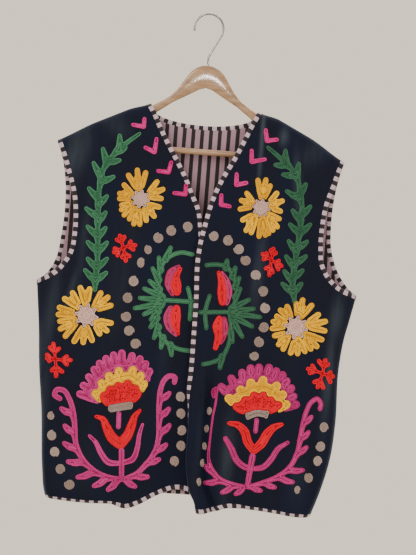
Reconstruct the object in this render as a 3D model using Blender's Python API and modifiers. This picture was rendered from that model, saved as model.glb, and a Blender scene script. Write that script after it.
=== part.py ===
"""Embroidered folk vest hanging on a wooden hanger with a trouser bar.

Metres, +Z up, the front faces -Y and +X is at the viewer's right, which is the wearer's left.
The origin is the inner top of the hook, where it hangs. Each cloth piece is cut in flat
coordinates (across, height) and draped by one function: over the hanger's arms, down the
front or back, and round the sides. side is -1 at the viewer's left and 1 at the right.
"""

import math

import bmesh
import bpy
import numpy as np

# Cloth
VELVET_WALL = 0.0020
BACK_WALL = 0.0013
LINING_WALL = 0.0010
BINDING_WIDTH = 0.0090
BINDING_WALL = 0.0031
BINDING_ROUND = 0.0014
GAP = 0.0003
SEAM = 0.0003
LINING_GAP = 0.0008
TAPE_GAP = 0.0006
HEM_START_GAP = 0.0038
END_BLEND = 0.045

# Shoulders, shared by the cloth and the hanger's arms
CENTRE_X = 0.003
NECK_HALF = 0.094
SHOULDER_HALF = 0.2515
NECK_Z = -0.164
SHOULDER_SLOPE = 0.487
SHOULDER_DEPTH = 0.0120
SHOULDER_SLACK = SHOULDER_DEPTH * (math.pi / 2 - 1.0)

# How far the body stands forward and back of the hanger's plane
FRONT_SWELL = 0.033
FRONT_SWELL_DROP = 0.78
BACK_SWELL = 0.012
BACK_SWELL_DROP = 0.30
SEAM_Y = -0.004
UNDER_STEP_TOP = 0.007
UNDER_STEP_HEM = 0.014

# Side outline of the hanging body: how wide its turn to the side seam is at each height
SIDE_LINE = {
    -1: (
        ("z", "half_width", "turn"),
        (-0.870, 0.222, 0.012),
        (-0.852, 0.228, 0.012),
        (-0.819, 0.233, 0.011),
        (-0.713, 0.242, 0.011),
        (-0.633, 0.251, 0.012),
        (-0.575, 0.256, 0.020),
        (-0.523, 0.262, 0.034),
        (-0.488, 0.266, 0.037),
        (-0.440, 0.268, 0.030),
        (-0.400, 0.290, 0.020),
        (-0.150, 0.290, 0.020),
    ),
    1: (
        ("z", "half_width", "turn"),
        (-0.866, 0.243, 0.012),
        (-0.829, 0.256, 0.012),
        (-0.754, 0.274, 0.012),
        (-0.700, 0.278, 0.013),
        (-0.603, 0.276, 0.018),
        (-0.555, 0.279, 0.024),
        (-0.510, 0.287, 0.028),
        (-0.472, 0.294, 0.028),
        (-0.430, 0.296, 0.028),
        (-0.390, 0.300, 0.020),
        (-0.150, 0.300, 0.020),
    ),
}
UNDERARM_Z = {-1: -0.489, 1: -0.473}
SIDE_HEM_Z = {-1: -0.866, 1: -0.864}

# Armholes from the underarm to the shoulder, in front and behind
FRONT_ARMHOLE = {
    -1: (
        ("x", "z"),
        (-0.247, -0.478),
        (-0.228, -0.459),
        (-0.214, -0.434),
        (-0.2075, -0.399),
        (-0.2075, -0.366),
        (-0.214, -0.330),
        (-0.226, -0.297),
        (-0.240, -0.262),
    ),
    1: (
        ("x", "z"),
        (0.272, -0.464),
        (0.250, -0.448),
        (0.234, -0.424),
        (0.2275, -0.389),
        (0.228, -0.352),
        (0.234, -0.316),
        (0.243, -0.286),
        (0.250, -0.260),
    ),
}
BACK_ARMHOLE = {
    -1: (
        ("x", "z"),
        (-0.256, -0.479),
        (-0.246, -0.466),
        (-0.237, -0.440),
        (-0.233, -0.408),
        (-0.230, -0.370),
        (-0.231, -0.325),
        (-0.238, -0.280),
    ),
    1: (
        ("x", "z"),
        (0.284, -0.463),
        (0.272, -0.450),
        (0.257, -0.425),
        (0.246, -0.391),
        (0.243, -0.355),
        (0.244, -0.312),
        (0.250, -0.270),
    ),
}

# Front edges from the hem up, along the V and to just below the shoulder
FRONT_EDGE = {
    -1: (
        ("x", "z"),
        (0.0460, -0.842),
        (0.0430, -0.740),
        (0.0360, -0.620),
        (0.0280, -0.500),
        (0.0215, -0.430),
        (0.0180, -0.378),
        (0.0120, -0.343),
        (-0.0010, -0.317),
        (-0.0170, -0.288),
        (-0.0350, -0.258),
        (-0.0520, -0.231),
        (-0.0680, -0.203),
        (-0.0820, -0.177),
    ),
    1: (
        ("x", "z"),
        (0.0430, -0.874),
        (0.0370, -0.857),
        (0.0260, -0.838),
        (0.0170, -0.800),
        (0.0135, -0.720),
        (0.0120, -0.600),
        (0.0110, -0.500),
        (0.0085, -0.432),
        (0.0105, -0.400),
        (0.0150, -0.370),
        (0.0200, -0.340),
        (0.0310, -0.310),
        (0.0440, -0.279),
        (0.0590, -0.250),
        (0.0730, -0.218),
        (0.0860, -0.187),
    ),
}
EDGE_AT_UNDERARM_Z = -0.445

# Front hems from the front edge towards the side seam
FRONT_HEM = {
    -1: (
        ("x", "z"),
        (0.0460, -0.842),
        (0.0100, -0.833),
        (-0.0290, -0.847),
        (-0.0600, -0.865),
        (-0.0780, -0.872),
        (-0.1000, -0.870),
        (-0.1500, -0.871),
        (-0.2000, -0.869),
    ),
    1: (
        ("x", "z"),
        (0.0430, -0.874),
        (0.0590, -0.877),
        (0.0740, -0.873),
        (0.0950, -0.860),
        (0.1370, -0.860),
        (0.1800, -0.863),
        (0.2200, -0.866),
    ),
}
BACK_HEM_MID_Z = -0.856
BACK_NECK_MID_Z = -0.199

# Rolled edge and crease of the front on top, measured in from its edge
ROLL_TOP_Z = -0.590
ROLL_FULL_Z = -0.690
ROLL_CREST = 0.018
ROLL_WIDTH = 0.012
ROLL_HEIGHT = 0.013
CREASE_AT = 0.0365
CREASE_WIDTH = 0.0065
CREASE_DEPTH = 0.010
CURL_WIDTH = 0.014
CURL_DEPTH = 0.008

# Soft folds: their top and bottom, half width, and how far they stand out (negative: in)
FOLD_COLUMNS = ("x_top", "z_top", "x_bottom", "z_bottom", "half_width", "rise")
FRONT_FOLDS = {
    -1: (
        FOLD_COLUMNS,
        (-0.150, -0.330, -0.185, -0.900, 0.028, 0.0035),
        (-0.070, -0.560, -0.110, -0.900, 0.026, -0.0040),
        (-0.175, -0.215, -0.165, -0.330, 0.020, 0.0022),
        (-0.035, -0.640, -0.050, -0.900, 0.020, 0.0050),
    ),
    1: (
        FOLD_COLUMNS,
        (0.108, -0.380, 0.092, -0.900, 0.022, 0.0040),
        (0.185, -0.225, 0.190, -0.360, 0.018, 0.0025),
        (0.150, -0.600, 0.150, -0.900, 0.024, -0.0035),
        (0.205, -0.520, 0.210, -0.900, 0.022, 0.0040),
    ),
}
BACK_FOLDS = (
    FOLD_COLUMNS,
    (-0.150, -0.300, -0.165, -0.900, 0.030, 0.0060),
    (-0.060, -0.420, -0.070, -0.900, 0.032, -0.0050),
    (0.035, -0.360, 0.030, -0.900, 0.034, 0.0055),
    (0.125, -0.460, 0.140, -0.900, 0.028, -0.0045),
    (0.205, -0.400, 0.215, -0.900, 0.024, 0.0050),
)

# Hanger
WOOD_THICK = 0.0120
WOOD_BEVEL = 0.0040
ARM_CLEAR = 0.0012
ARM_TALL = 0.0165
ARM_END_HALF = 0.2150
ARM_FOOT_HALF = 0.1860
ARM_FOOT_Z = -0.2480
HUB_TOP_Z = -0.0890
HUB_TOP_HALF = 0.0105
HUB_UNDER_Z = -0.1290
BAR_Z = -0.2415
BAR_RADIUS = 0.0053
WIRE_RADIUS = 0.0019
HOOK_RADIUS = 0.0255
HOOK_TIP_DEG = 195.0
HOOK_LEAVE_DEG = -27.0
SHANK_BEND_RADIUS = 0.012

# Grids
EDGE_STEPS = (0.0, 0.0018, 0.0045, 0.0095, 0.0155, 0.0210, 0.0260, 0.0310, 0.0370, 0.0450, 0.0600)
SIDE_STEPS = (0.0340, 0.0230, 0.0145, 0.0070, 0.0)
WIDE_COLUMNS = 5
BODY_ROWS = 11
ARM_ROWS = 11
TOP_ROWS = (0.938, 0.954, 0.970, 0.985, 1.0)
BACK_SHOULDER_COLUMNS = 6
NECK_HALF_SHARES = (0.0, 0.022, 0.044, 0.067, 0.095, 0.150, 0.235, 0.325, 0.415)
DENSE = 240

VELVET = ("Velvet", (0.012, 0.016, 0.026), 0.85, 0.0)
STRIPED_LINING = ("StripedLining", (0.34, 0.26, 0.31), 0.9, 0.0)
STRIPED_BINDING = ("StripedBinding", (0.42, 0.34, 0.41), 0.85, 0.0)
WOOD = ("VarnishedWood", (0.52, 0.33, 0.17), 0.35, 0.0)
CHROME = ("ChromeWire", (0.72, 0.72, 0.70), 0.25, 1.0)


def ease(t):
    """0 below 0, 1 above 1, smooth between."""
    t = np.clip(t, 0.0, 1.0)
    return t * t * (3.0 - 2.0 * t)


def rows_of(table):
    """A table's rows as an array, without its column names."""
    return np.array(table[1:], float)


def curve_at(x, xs, ys):
    """Smooth curve through (xs, ys), xs rising, read at x."""
    slopes = np.gradient(ys, xs)
    i = np.clip(np.searchsorted(xs, x) - 1, 0, len(xs) - 2)
    step = xs[i + 1] - xs[i]
    t = np.clip((x - xs[i]) / step, 0.0, 1.0)
    value = (1 + 2 * t) * (1 - t) ** 2 * ys[i] + t * t * (3 - 2 * t) * ys[i + 1]
    return value + step * (t * (1 - t) ** 2 * slopes[i] + t * t * (t - 1) * slopes[i + 1])


def lengths(points):
    """Distance along a line at each of its points."""
    return np.concatenate([[0.0], np.cumsum(np.linalg.norm(np.diff(points, axis=0), axis=1))])


def evenly(x, z):
    """The flat line of a seen one, its points evenly spaced."""
    flat = np.stack([x, flat_z(x, z)], axis=-1)
    run = lengths(flat)
    at = np.linspace(0, run[-1], DENSE)
    return np.stack([np.interp(at, run, flat[:, k]) for k in range(2)], axis=-1)


def smooth_line(points):
    """A smooth flat line through points given as seen."""
    points = np.asarray(points, float)
    run = lengths(points)
    at = np.linspace(0, run[-1], 4 * DENSE)
    line = np.stack([curve_at(at, run, points[:, k]) for k in range(2)], axis=-1)
    return evenly(line[:, 0], line[:, 1])


def pick(line, shares):
    """Points of a line by share of its count, so that lines moved apart stay matched."""
    at = np.asarray(shares, float) * (len(line) - 1)
    return np.stack([np.interp(at, np.arange(len(line)), line[:, k]) for k in range(2)], axis=-1)


def shoulder_z(x):
    """Height of the shoulder line, carried on inwards past the neck."""
    return NECK_Z - (np.abs(x - CENTRE_X) - NECK_HALF) * SHOULDER_SLOPE


def shoulder_point(side, half):
    x = CENTRE_X + side * half
    return np.array([x, shoulder_z(x)])


def flat_z(x, z):
    """Flat height of cloth seen at (x, z): longer by what lies in the turn over the arm."""
    drop = np.clip(shoulder_z(x) - z, 0.0, SHOULDER_DEPTH)
    turned = SHOULDER_DEPTH * np.arccos(1.0 - drop / SHOULDER_DEPTH) - drop
    return z - turned


def over_arm(x, flat):
    """Seen height of flat cloth, and how far it stands from the arm's middle."""
    drop = shoulder_z(x) - flat
    angle = np.clip(drop / SHOULDER_DEPTH, -0.2, math.pi / 2)
    hanging = np.maximum(drop - SHOULDER_DEPTH * math.pi / 2, 0.0)
    z = shoulder_z(x) - SHOULDER_DEPTH * (1.0 - np.cos(angle)) - hanging
    return z, SHOULDER_DEPTH * np.sin(angle)


def fold_rise(table, x, z):
    """How far the soft folds of a panel stand out at (x, z)."""
    rise = np.zeros_like(x + z)
    for x_top, z_top, x_bottom, z_bottom, half_width, height in rows_of(table):
        down = (z_top - z) / (z_top - z_bottom)
        middle = x_top + (x_bottom - x_top) * down
        rise = rise + height * ease(down * 2.2) * np.exp(-(((x - middle) / half_width) ** 2))
    return rise


def front_depth(side, x, z, over=SHOULDER_DEPTH):
    """y of a front before it bends round the side. over is its place in the arm's turn."""
    drop = np.maximum(shoulder_z(x) - z, 0.0)
    y = -over - FRONT_SWELL * ease(drop / FRONT_SWELL_DROP) - SEAM
    y = y - fold_rise(FRONT_FOLDS[side], x, z)
    if side < 0:
        step = UNDER_STEP_TOP + (UNDER_STEP_HEM - UNDER_STEP_TOP) * ease((-0.40 - z) / 0.4)
        return y + step * ease((x + 0.075) / 0.085) * ease((-0.19 - z) / 0.12)
    edge = rows_of(FRONT_EDGE[1])
    inward = x - curve_at(z, edge[:, 1], edge[:, 0])
    share = ease((ROLL_TOP_Z - z) / (ROLL_TOP_Z - ROLL_FULL_Z))
    y = y - share * ROLL_HEIGHT * np.exp(-(((inward - ROLL_CREST) / ROLL_WIDTH) ** 2))
    y = y + share * CREASE_DEPTH * np.exp(-(((inward - CREASE_AT) / CREASE_WIDTH) ** 2))
    return y + share * CURL_DEPTH * np.clip(1.0 - inward / CURL_WIDTH, 0.0, 1.2) ** 2


def back_depth(x, z, over=SHOULDER_DEPTH):
    """y of the back before it bends round the sides."""
    drop = np.maximum(shoulder_z(x) - z, 0.0)
    y = over + BACK_SWELL * ease(drop / BACK_SWELL_DROP) + SEAM
    return y + fold_rise(BACK_FOLDS, x, z)


def side_turn(side, z, depth):
    """Where a panel starts to bend round the side: |x|, the bend's half axes and its length."""
    table = rows_of(SIDE_LINE[side])
    turn = curve_at(z, table[:, 0], table[:, 2])
    start = curve_at(z, table[:, 0], table[:, 1]) - turn
    y = depth(side * start, z)
    deep = np.abs(SEAM_Y - y) - SEAM
    length = math.pi / 2 * np.sqrt((turn**2 + deep**2) / 2)
    return start, turn, deep, length


def bend_round(side, flat, depth, facing):
    """Drapes flat points: depth gives y, and past the turn's start they bend to the seam."""
    x = flat[..., 0]
    z, over = over_arm(x, flat[..., 1])
    start, turn, deep, length = side_turn(side, z, depth)
    past = np.clip((side * x - start) / length, 0.0, 1.0)
    angle = past * math.pi / 2
    kept = side * np.minimum(side * x, start)
    y = depth(kept, z, over) - facing * deep * (1.0 - np.cos(angle))
    return np.stack([kept + side * turn * np.sin(angle), y, z], axis=-1)


def front_depth_of(side):
    return lambda x, z, over=SHOULDER_DEPTH: front_depth(side, x, z, over)


def front_surface(side):
    """The function from flat points of a front to their place in space."""
    return lambda flat: bend_round(side, flat, front_depth_of(side), -1)


def back_surface(flat):
    left = bend_round(-1, flat, back_depth, 1)
    right = bend_round(1, flat, back_depth, 1)
    return np.where(flat[..., :1] < CENTRE_X, left, right)


def normals(surface, flat, facing):
    """Unit normals of a draped surface, on its outer side. facing is -1 in front, 1 behind."""
    tiny = 0.0004
    across = surface(flat + (tiny, 0.0)) - surface(flat - (tiny, 0.0))
    up = surface(flat + (0.0, tiny)) - surface(flat - (0.0, tiny))
    n = np.cross(across, up)
    return -facing * n / np.maximum(np.linalg.norm(n, axis=-1, keepdims=True), 1e-12)


def seam_point(side, z, facing):
    """Flat point of a panel on the side seam, at height z as seen."""
    depth = back_depth if facing > 0 else front_depth_of(side)
    start, _, _, length = side_turn(side, np.float64(z), depth)
    return np.array([side * (start + length), z - SHOULDER_SLACK])


def seen_seam_point(side, z, facing):
    return seam_point(side, z, facing) + (0.0, SHOULDER_SLACK)


def inset(line, width, first, last):
    """The line moved sideways by width; first and last are the ways its ends move."""
    along = np.gradient(line, axis=0)
    across = np.stack([-along[:, 1], along[:, 0]], axis=-1)
    across /= np.linalg.norm(across, axis=1, keepdims=True)
    across *= np.sign(across[len(line) // 2] @ (np.asarray(first) + np.asarray(last)))
    run = lengths(line)
    for distance, way in ((run, first), (run[-1] - run, last)):
        way = np.asarray(way, float) / np.linalg.norm(way)
        skew = way / np.maximum(np.abs(across @ way), 0.7)[:, None]
        across = across + (skew - across) * ease(1.0 - distance / END_BLEND)[:, None]
    return line + across * width


def along_shoulder(side, way):
    """Direction along the shoulder line: way is 1 outwards and -1 towards the neck."""
    return np.array([side, -SHOULDER_SLOPE]) * way


def armhole_line(side, facing, width):
    """Armhole outline of a front or the back, from seam to shoulder, moved in by width."""
    table = (BACK_ARMHOLE if facing > 0 else FRONT_ARMHOLE)[side]
    seam = seen_seam_point(side, UNDERARM_Z[side], facing)
    line = smooth_line(np.vstack([seam, rows_of(table), shoulder_point(side, SHOULDER_HALF)]))
    if width == 0.0:
        return line
    moved = inset(line, width, (0.0, -1.0), along_shoulder(side, -1))
    moved[0] = seam_point(side, moved[0, 1] + SHOULDER_SLACK, facing)
    return moved


def edge_line(side, width):
    """Front edge from the hem to the shoulder seam, moved in by width."""
    line = smooth_line(np.vstack([rows_of(FRONT_EDGE[side]), shoulder_point(side, NECK_HALF)]))
    if width == 0.0:
        return line
    return inset(line, width, (side, 0.0), along_shoulder(side, 1))


def hem_line(side, width):
    """Front hem from the front edge to the side seam, moved up by width."""
    line = smooth_line(np.vstack([rows_of(FRONT_HEM[side]), seen_seam_point(side, SIDE_HEM_Z[side], -1)]))
    if width == 0.0:
        return line
    moved = inset(line, width, (0.0, 1.0), (0.0, 1.0))
    moved[-1] = seam_point(side, SIDE_HEM_Z[side] + width, -1)
    return moved


def back_hem_line(width):
    ends = [seam_point(side, SIDE_HEM_Z[side] + width, 1) for side in (-1, 1)]
    share = np.linspace(0, 1, DENSE)[:, None]
    line = ends[0] + (ends[1] - ends[0]) * share
    middle = BACK_HEM_MID_Z - SHOULDER_SLACK + width
    line[:, 1] += (middle - line[:, 1]) * np.sin(math.pi * share[:, 0]) ** 0.7
    return line


def back_neck_line(width):
    """Back neck from the viewer's left to right: a flat-bottomed curve."""
    angle = np.linspace(-1, 1, 4 * DENSE) * math.pi / 2
    x = CENTRE_X + NECK_HALF * np.sin(angle)
    z = NECK_Z + (BACK_NECK_MID_Z - NECK_Z) * np.cos(angle) ** 0.85
    line = evenly(x, z)
    if width == 0.0:
        return line
    return inset(line, width, along_shoulder(-1, 1), along_shoulder(1, 1))


def crossing(lower, edge):
    """Where a hem line (as z over x) meets an edge line (as x over z)."""
    order = np.argsort(lower[:, 0])
    rise = np.argsort(edge[:, 1])
    x = edge[0, 0]
    for _ in range(8):
        z = np.interp(x, lower[order, 0], lower[order, 1])
        x = np.interp(z, edge[rise, 1], edge[rise, 0])
    return np.array([x, z])


def share_at(line, z):
    """Share of a rising line at a height."""
    return np.interp(z, line[:, 1], np.linspace(0, 1, len(line)))


def upper_shares():
    """Where the rows above the underarm lie, closer together over the hanger's arm."""
    return np.concatenate([np.linspace(0, 0.92, ARM_ROWS)[1:], TOP_ROWS])


def edge_shares(side):
    """Where the rows of a front and of its edge binding lie along the front edge."""
    width = BINDING_WIDTH + TAPE_GAP
    edge = edge_line(side, width)
    low = share_at(edge, crossing(hem_line(side, width), edge)[1])
    middle = share_at(edge, EDGE_AT_UNDERARM_Z)
    body = np.linspace(low, middle, BODY_ROWS + 1)
    return np.concatenate([body, middle + (1.0 - middle) * upper_shares()])


def outer_points(side, hem_end_z, facing):
    """Outer boundary of a panel: up the side seam, then round the armhole to the shoulder."""
    arm = armhole_line(side, facing, BINDING_WIDTH + TAPE_GAP)
    heights = np.linspace(hem_end_z, arm[0, 1], BODY_ROWS + 1) + SHOULDER_SLACK
    seam = [seam_point(side, z, facing) for z in heights]
    return np.vstack([seam, pick(arm, upper_shares())])


def front_columns(length):
    """Shares of the columns across a front of this width."""
    wide = np.linspace(EDGE_STEPS[-1], length - SIDE_STEPS[0], WIDE_COLUMNS + 2)[1:-1]
    return np.concatenate([EDGE_STEPS, wide, length - np.array(SIDE_STEPS)]) / length


def front_grid(side):
    """Flat grid of a front, rows from hem to shoulder, columns from the front edge outwards."""
    width = BINDING_WIDTH + TAPE_GAP
    hem = hem_line(side, width)
    outer = outer_points(side, hem[-1, 1], -1)
    inner = pick(edge_line(side, width), edge_shares(side))
    order = np.argsort(hem[:, 0])
    grid = []
    for row, (a, b) in enumerate(zip(inner, outer)):
        share = front_columns(np.linalg.norm(b - a))
        points = a + (b - a) * share[:, None]
        if row == 0:
            level = np.interp(points[:, 0], hem[order, 0], hem[order, 1]) - points[:, 1]
            level[0] = level[-1] = 0.0
        points[:, 1] += level * (1.0 - ease(row / (BODY_ROWS * 0.6)))
        grid.append(points)
    return np.array(grid)


def neck_shares():
    half = np.array(NECK_HALF_SHARES)
    return np.concatenate([half, [0.5], 1.0 - half[::-1]])


def back_grid():
    """Flat grid of the back, rows from hem up, columns from the viewer's left to right."""
    width = BINDING_WIDTH + TAPE_GAP
    hem, neck = back_hem_line(width), back_neck_line(width)
    left, right = outer_points(-1, hem[0, 1], 1), outer_points(1, hem[-1, 1], 1)
    slope = np.linspace(0, 1, BACK_SHOULDER_COLUMNS + 1)[:, None]
    left_top = left[-1] + (neck[0] - left[-1]) * slope
    right_top = neck[-1] + (right[-1] - neck[-1]) * slope
    top = np.vstack([left_top[:-1], pick(neck, neck_shares()), right_top[1:]])
    top_share = (top[:, 0] - left[-1, 0]) / (right[-1, 0] - left[-1, 0])
    top_lift = top[:, 1] - (left[-1, 1] + (right[-1, 1] - left[-1, 1]) * top_share)
    hem_width = right[0, 0] - left[0, 0]
    side = np.array(SIDE_STEPS) / hem_width
    middle = np.linspace(side[0], 1.0 - side[0], len(top) - 2 * len(side) + 2)[1:-1]
    low_share = np.concatenate([side[::-1], middle, 1.0 - side])
    level = np.interp(low_share, np.linspace(0, 1, DENSE), hem[:, 1])
    level -= left[0, 1] + (right[0, 1] - left[0, 1]) * low_share
    rises = np.concatenate([np.zeros(BODY_ROWS + 1), upper_shares()])
    grid = []
    for row, (a, b) in enumerate(zip(left, right)):
        share = low_share + (top_share - low_share) * ease(rises[row] * 1.15)
        points = a + (b - a) * share[:, None]
        points[:, 1] += top_lift * rises[row] ** 1.6
        points[:, 1] += level * (1.0 - ease(row / (BODY_ROWS * 0.6)))
        grid.append(points)
    return np.array(grid)


def material(look):
    name, colour, roughness, metallic = look
    found = bpy.data.materials.get(name)
    if found:
        return found
    made = bpy.data.materials.new(name)
    made.use_nodes = True
    made.diffuse_color = (*colour, 1.0)
    shader = made.node_tree.nodes["Principled BSDF"]
    shader.inputs["Base Color"].default_value = (*colour, 1.0)
    shader.inputs["Roughness"].default_value = roughness
    shader.inputs["Metallic"].default_value = metallic
    return made


def mesh_object(name, points, faces, look, collection):
    mesh = bpy.data.meshes.new(name)
    mesh.from_pydata([tuple(map(float, p)) for p in points], [], faces)
    mesh.materials.append(material(look))
    mesh.shade_smooth()
    made = bpy.data.objects.new(name, mesh)
    collection.objects.link(made)
    return made


def grid_faces(rows, columns, turned):
    faces = []
    for i in range(rows - 1):
        for j in range(columns - 1):
            a = i * columns + j
            face = (a, a + 1, a + columns + 1, a + columns)
            faces.append(face[::-1] if turned else face)
    return faces


def cloth_wall(name, surface, flat, facing, offset, wall, turned, look, collection):
    """An open draped grid with its thickness from Solidify. offset moves it out of the middle."""
    points = surface(flat) + normals(surface, flat, facing) * offset
    rows, columns = flat.shape[:2]
    faces = grid_faces(rows, columns, turned)
    made = mesh_object(name, points.reshape(-1, 3), faces, look, collection)
    solid = made.modifiers.new("Wall", "SOLIDIFY")
    solid.thickness = wall
    solid.offset = 0.0
    return made


def tape_rings(surface, lines, facing):
    """Cross-sections of a binding: lines are its flat inner, rounding and outer lines."""
    flat = np.stack(lines, axis=1)
    place = surface(flat)
    out = normals(surface, flat, facing)
    half = np.array([BINDING_WALL / 2, BINDING_WALL / 2, BINDING_WALL / 5])[None, :, None]
    front, behind = place + out * half, place - out * half
    return np.concatenate([front, behind[:, ::-1]], axis=1)


def binding(name, rings, closed, collection):
    """Lofts cross-sections of six points into one closed body."""
    count, around = rings.shape[:2]
    faces = []
    for i in range(count if closed else count - 1):
        for j in range(around):
            a, b = i * around + j, i * around + (j + 1) % around
            c, d = ((i + 1) % count) * around + (j + 1) % around, ((i + 1) % count) * around + j
            faces.append((a, b, c, d))
    if not closed:
        faces.append(tuple(range(around))[::-1])
        faces.append(tuple((count - 1) * around + j for j in range(around)))
    made = mesh_object(name, rings.reshape(-1, 3), faces, STRIPED_BINDING, collection)
    work = bmesh.new()
    work.from_mesh(made.data)
    bmesh.ops.recalc_face_normals(work, faces=work.faces)
    work.to_mesh(made.data)
    work.free()
    return made


def tape_widths():
    return BINDING_WIDTH, BINDING_ROUND, 0.0


def edge_binding(side, name, collection):
    """Down the V and the front edge to the bottom of the hem."""
    hem = hem_line(side, 0.0)
    lines = []
    for width in tape_widths():
        edge = edge_line(side, width)
        foot = crossing(hem, edge)[1] if width else edge[0, 1]
        lines.append(pick(edge, np.concatenate([[share_at(edge, foot)], edge_shares(side)])))
    binding(name, tape_rings(front_surface(side), lines, -1), False, collection)


def armhole_binding(side, name, collection):
    """A ring: up the front's armhole, over the shoulder and down the back's."""
    shares = np.concatenate([[0.0], upper_shares()])
    front = [pick(armhole_line(side, -1, width), shares) for width in tape_widths()]
    back = [pick(armhole_line(side, 1, width), shares) for width in tape_widths()]
    up = tape_rings(front_surface(side), front, -1)
    down = tape_rings(back_surface, back, 1)[-2:0:-1]
    binding(name, np.concatenate([up, down]), True, collection)


def neck_binding(name, collection):
    lines = [pick(back_neck_line(width), neck_shares()) for width in tape_widths()]
    binding(name, tape_rings(back_surface, lines, 1), False, collection)


def front_hem_binding(side, name, collection):
    """From the front edge's binding to the side seam."""
    limit = edge_line(side, BINDING_WIDTH + HEM_START_GAP)
    panel = hem_line(side, BINDING_WIDTH + TAPE_GAP)
    order = np.argsort(panel[:, 0])
    count = np.linspace(0, 1, len(panel))
    shares = np.interp(front_grid(side)[0, :, 0], panel[order, 0], count[order])
    lines = []
    for width in tape_widths():
        hem = hem_line(side, width)
        lines.append(np.vstack([crossing(hem, limit), pick(hem, shares[1:])]))
    binding(name, tape_rings(front_surface(side), lines, -1), False, collection)


def back_hem_binding(name, collection):
    row = back_grid()[0, :, 0]
    shares = (row - row[0]) / (row[-1] - row[0])
    lines = [pick(back_hem_line(width), shares) for width in tape_widths()]
    binding(name, tape_rings(back_surface, lines, 1), False, collection)


def cloth(collection):
    """Every cut piece of the vest."""
    names = {-1: "right", 1: "left"}
    for side in (-1, 1):
        surface = front_surface(side)
        cloth_wall(
            f"front_{names[side]}", surface, front_grid(side), -1, 0.0, VELVET_WALL, side < 0,
            VELVET, collection,
        )
        edge_binding(side, f"edge_binding_{names[side]}", collection)
        armhole_binding(side, f"armhole_binding_{names[side]}", collection)
        front_hem_binding(side, f"hem_binding_{names[side]}", collection)
    flat = back_grid()
    cloth_wall("back", back_surface, flat, 1, 0.0, BACK_WALL, True, VELVET, collection)
    inward = -((BACK_WALL + LINING_WALL) / 2 + LINING_GAP)
    cloth_wall(
        "back_lining", back_surface, flat, 1, inward, LINING_WALL, True, STRIPED_LINING,
        collection,
    )
    neck_binding("neck_binding", collection)
    back_hem_binding("hem_binding_back", collection)


def arm_top(half):
    """Top of a hanger's arm at a distance from the centre: just under the lining."""
    stack = BACK_WALL / 2 + LINING_GAP + LINING_WALL + ARM_CLEAR
    return shoulder_z(CENTRE_X + half) - stack * math.hypot(1.0, SHOULDER_SLOPE)


def yoke_outline():
    """Right half of the wooden arms, from the top of the hub round to the notch under it."""
    tall = ARM_TALL * math.hypot(1.0, SHOULDER_SLOPE)
    top = [
        (HUB_TOP_HALF, HUB_TOP_Z),
        (0.0200, HUB_TOP_Z - 0.0035),
        (0.0290, HUB_TOP_Z - 0.0120),
        (0.0390, HUB_TOP_Z - 0.0270),
        (0.0490, HUB_TOP_Z - 0.0430),
        (0.0620, HUB_TOP_Z - 0.0580),
        (0.0780, HUB_TOP_Z - 0.0690),
        (NECK_HALF, arm_top(NECK_HALF)),
        (ARM_END_HALF - 0.008, arm_top(ARM_END_HALF - 0.008)),
    ]
    end_z = arm_top(ARM_END_HALF)
    end = [
        (ARM_END_HALF - 0.001, end_z - 0.0030),
        (ARM_END_HALF + 0.0005, end_z - 0.0090),
        (ARM_END_HALF - 0.002, ARM_FOOT_Z + 0.004),
        (ARM_END_HALF - 0.008, ARM_FOOT_Z),
        (ARM_FOOT_HALF + 0.004, ARM_FOOT_Z),
        (ARM_FOOT_HALF, ARM_FOOT_Z + 0.003),
        (ARM_FOOT_HALF, arm_top(ARM_FOOT_HALF) - tall - 0.0045),
        (ARM_FOOT_HALF - 0.006, arm_top(ARM_FOOT_HALF - 0.006) - tall),
    ]
    under = [
        (0.0880, arm_top(0.0880) - tall),
        (0.0560, HUB_UNDER_Z - 0.0290),
        (0.0280, HUB_UNDER_Z - 0.0130),
        (0.0110, HUB_UNDER_Z - 0.0030),
    ]
    return top + end + under


def yoke(collection):
    right = yoke_outline()
    left = [(-x, z) for x, z in reversed(right)]
    outline = right + [(0.0, HUB_UNDER_Z)] + left
    curve = bpy.data.curves.new("hanger_yoke", "CURVE")
    curve.dimensions = "2D"
    curve.fill_mode = "BOTH"
    curve.extrude = WOOD_THICK / 2 - WOOD_BEVEL
    curve.bevel_depth = WOOD_BEVEL
    curve.bevel_resolution = 1
    curve.offset = -WOOD_BEVEL
    spline = curve.splines.new("POLY")
    spline.points.add(len(outline) - 1)
    for point, (x, z) in zip(spline.points, outline):
        point.co = (x + CENTRE_X, z, 0.0, 1.0)
    spline.use_cyclic_u = True
    curve.materials.append(material(WOOD))
    made = bpy.data.objects.new("hanger_yoke", curve)
    made.rotation_euler = (math.pi / 2, 0.0, 0.0)
    collection.objects.link(made)


def bar(collection):
    length = 2 * (ARM_FOOT_HALF - GAP)
    bpy.ops.mesh.primitive_cylinder_add(
        vertices=16,
        radius=BAR_RADIUS,
        depth=length,
        location=(CENTRE_X, 0.0, BAR_Z),
        rotation=(0.0, math.pi / 2, 0.0),
    )
    made = bpy.context.active_object
    made.name = "hanger_bar"
    made.data.name = "hanger_bar"
    made.data.materials.append(material(WOOD))
    for other in made.users_collection:
        other.objects.unlink(made)
    collection.objects.link(made)


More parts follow.
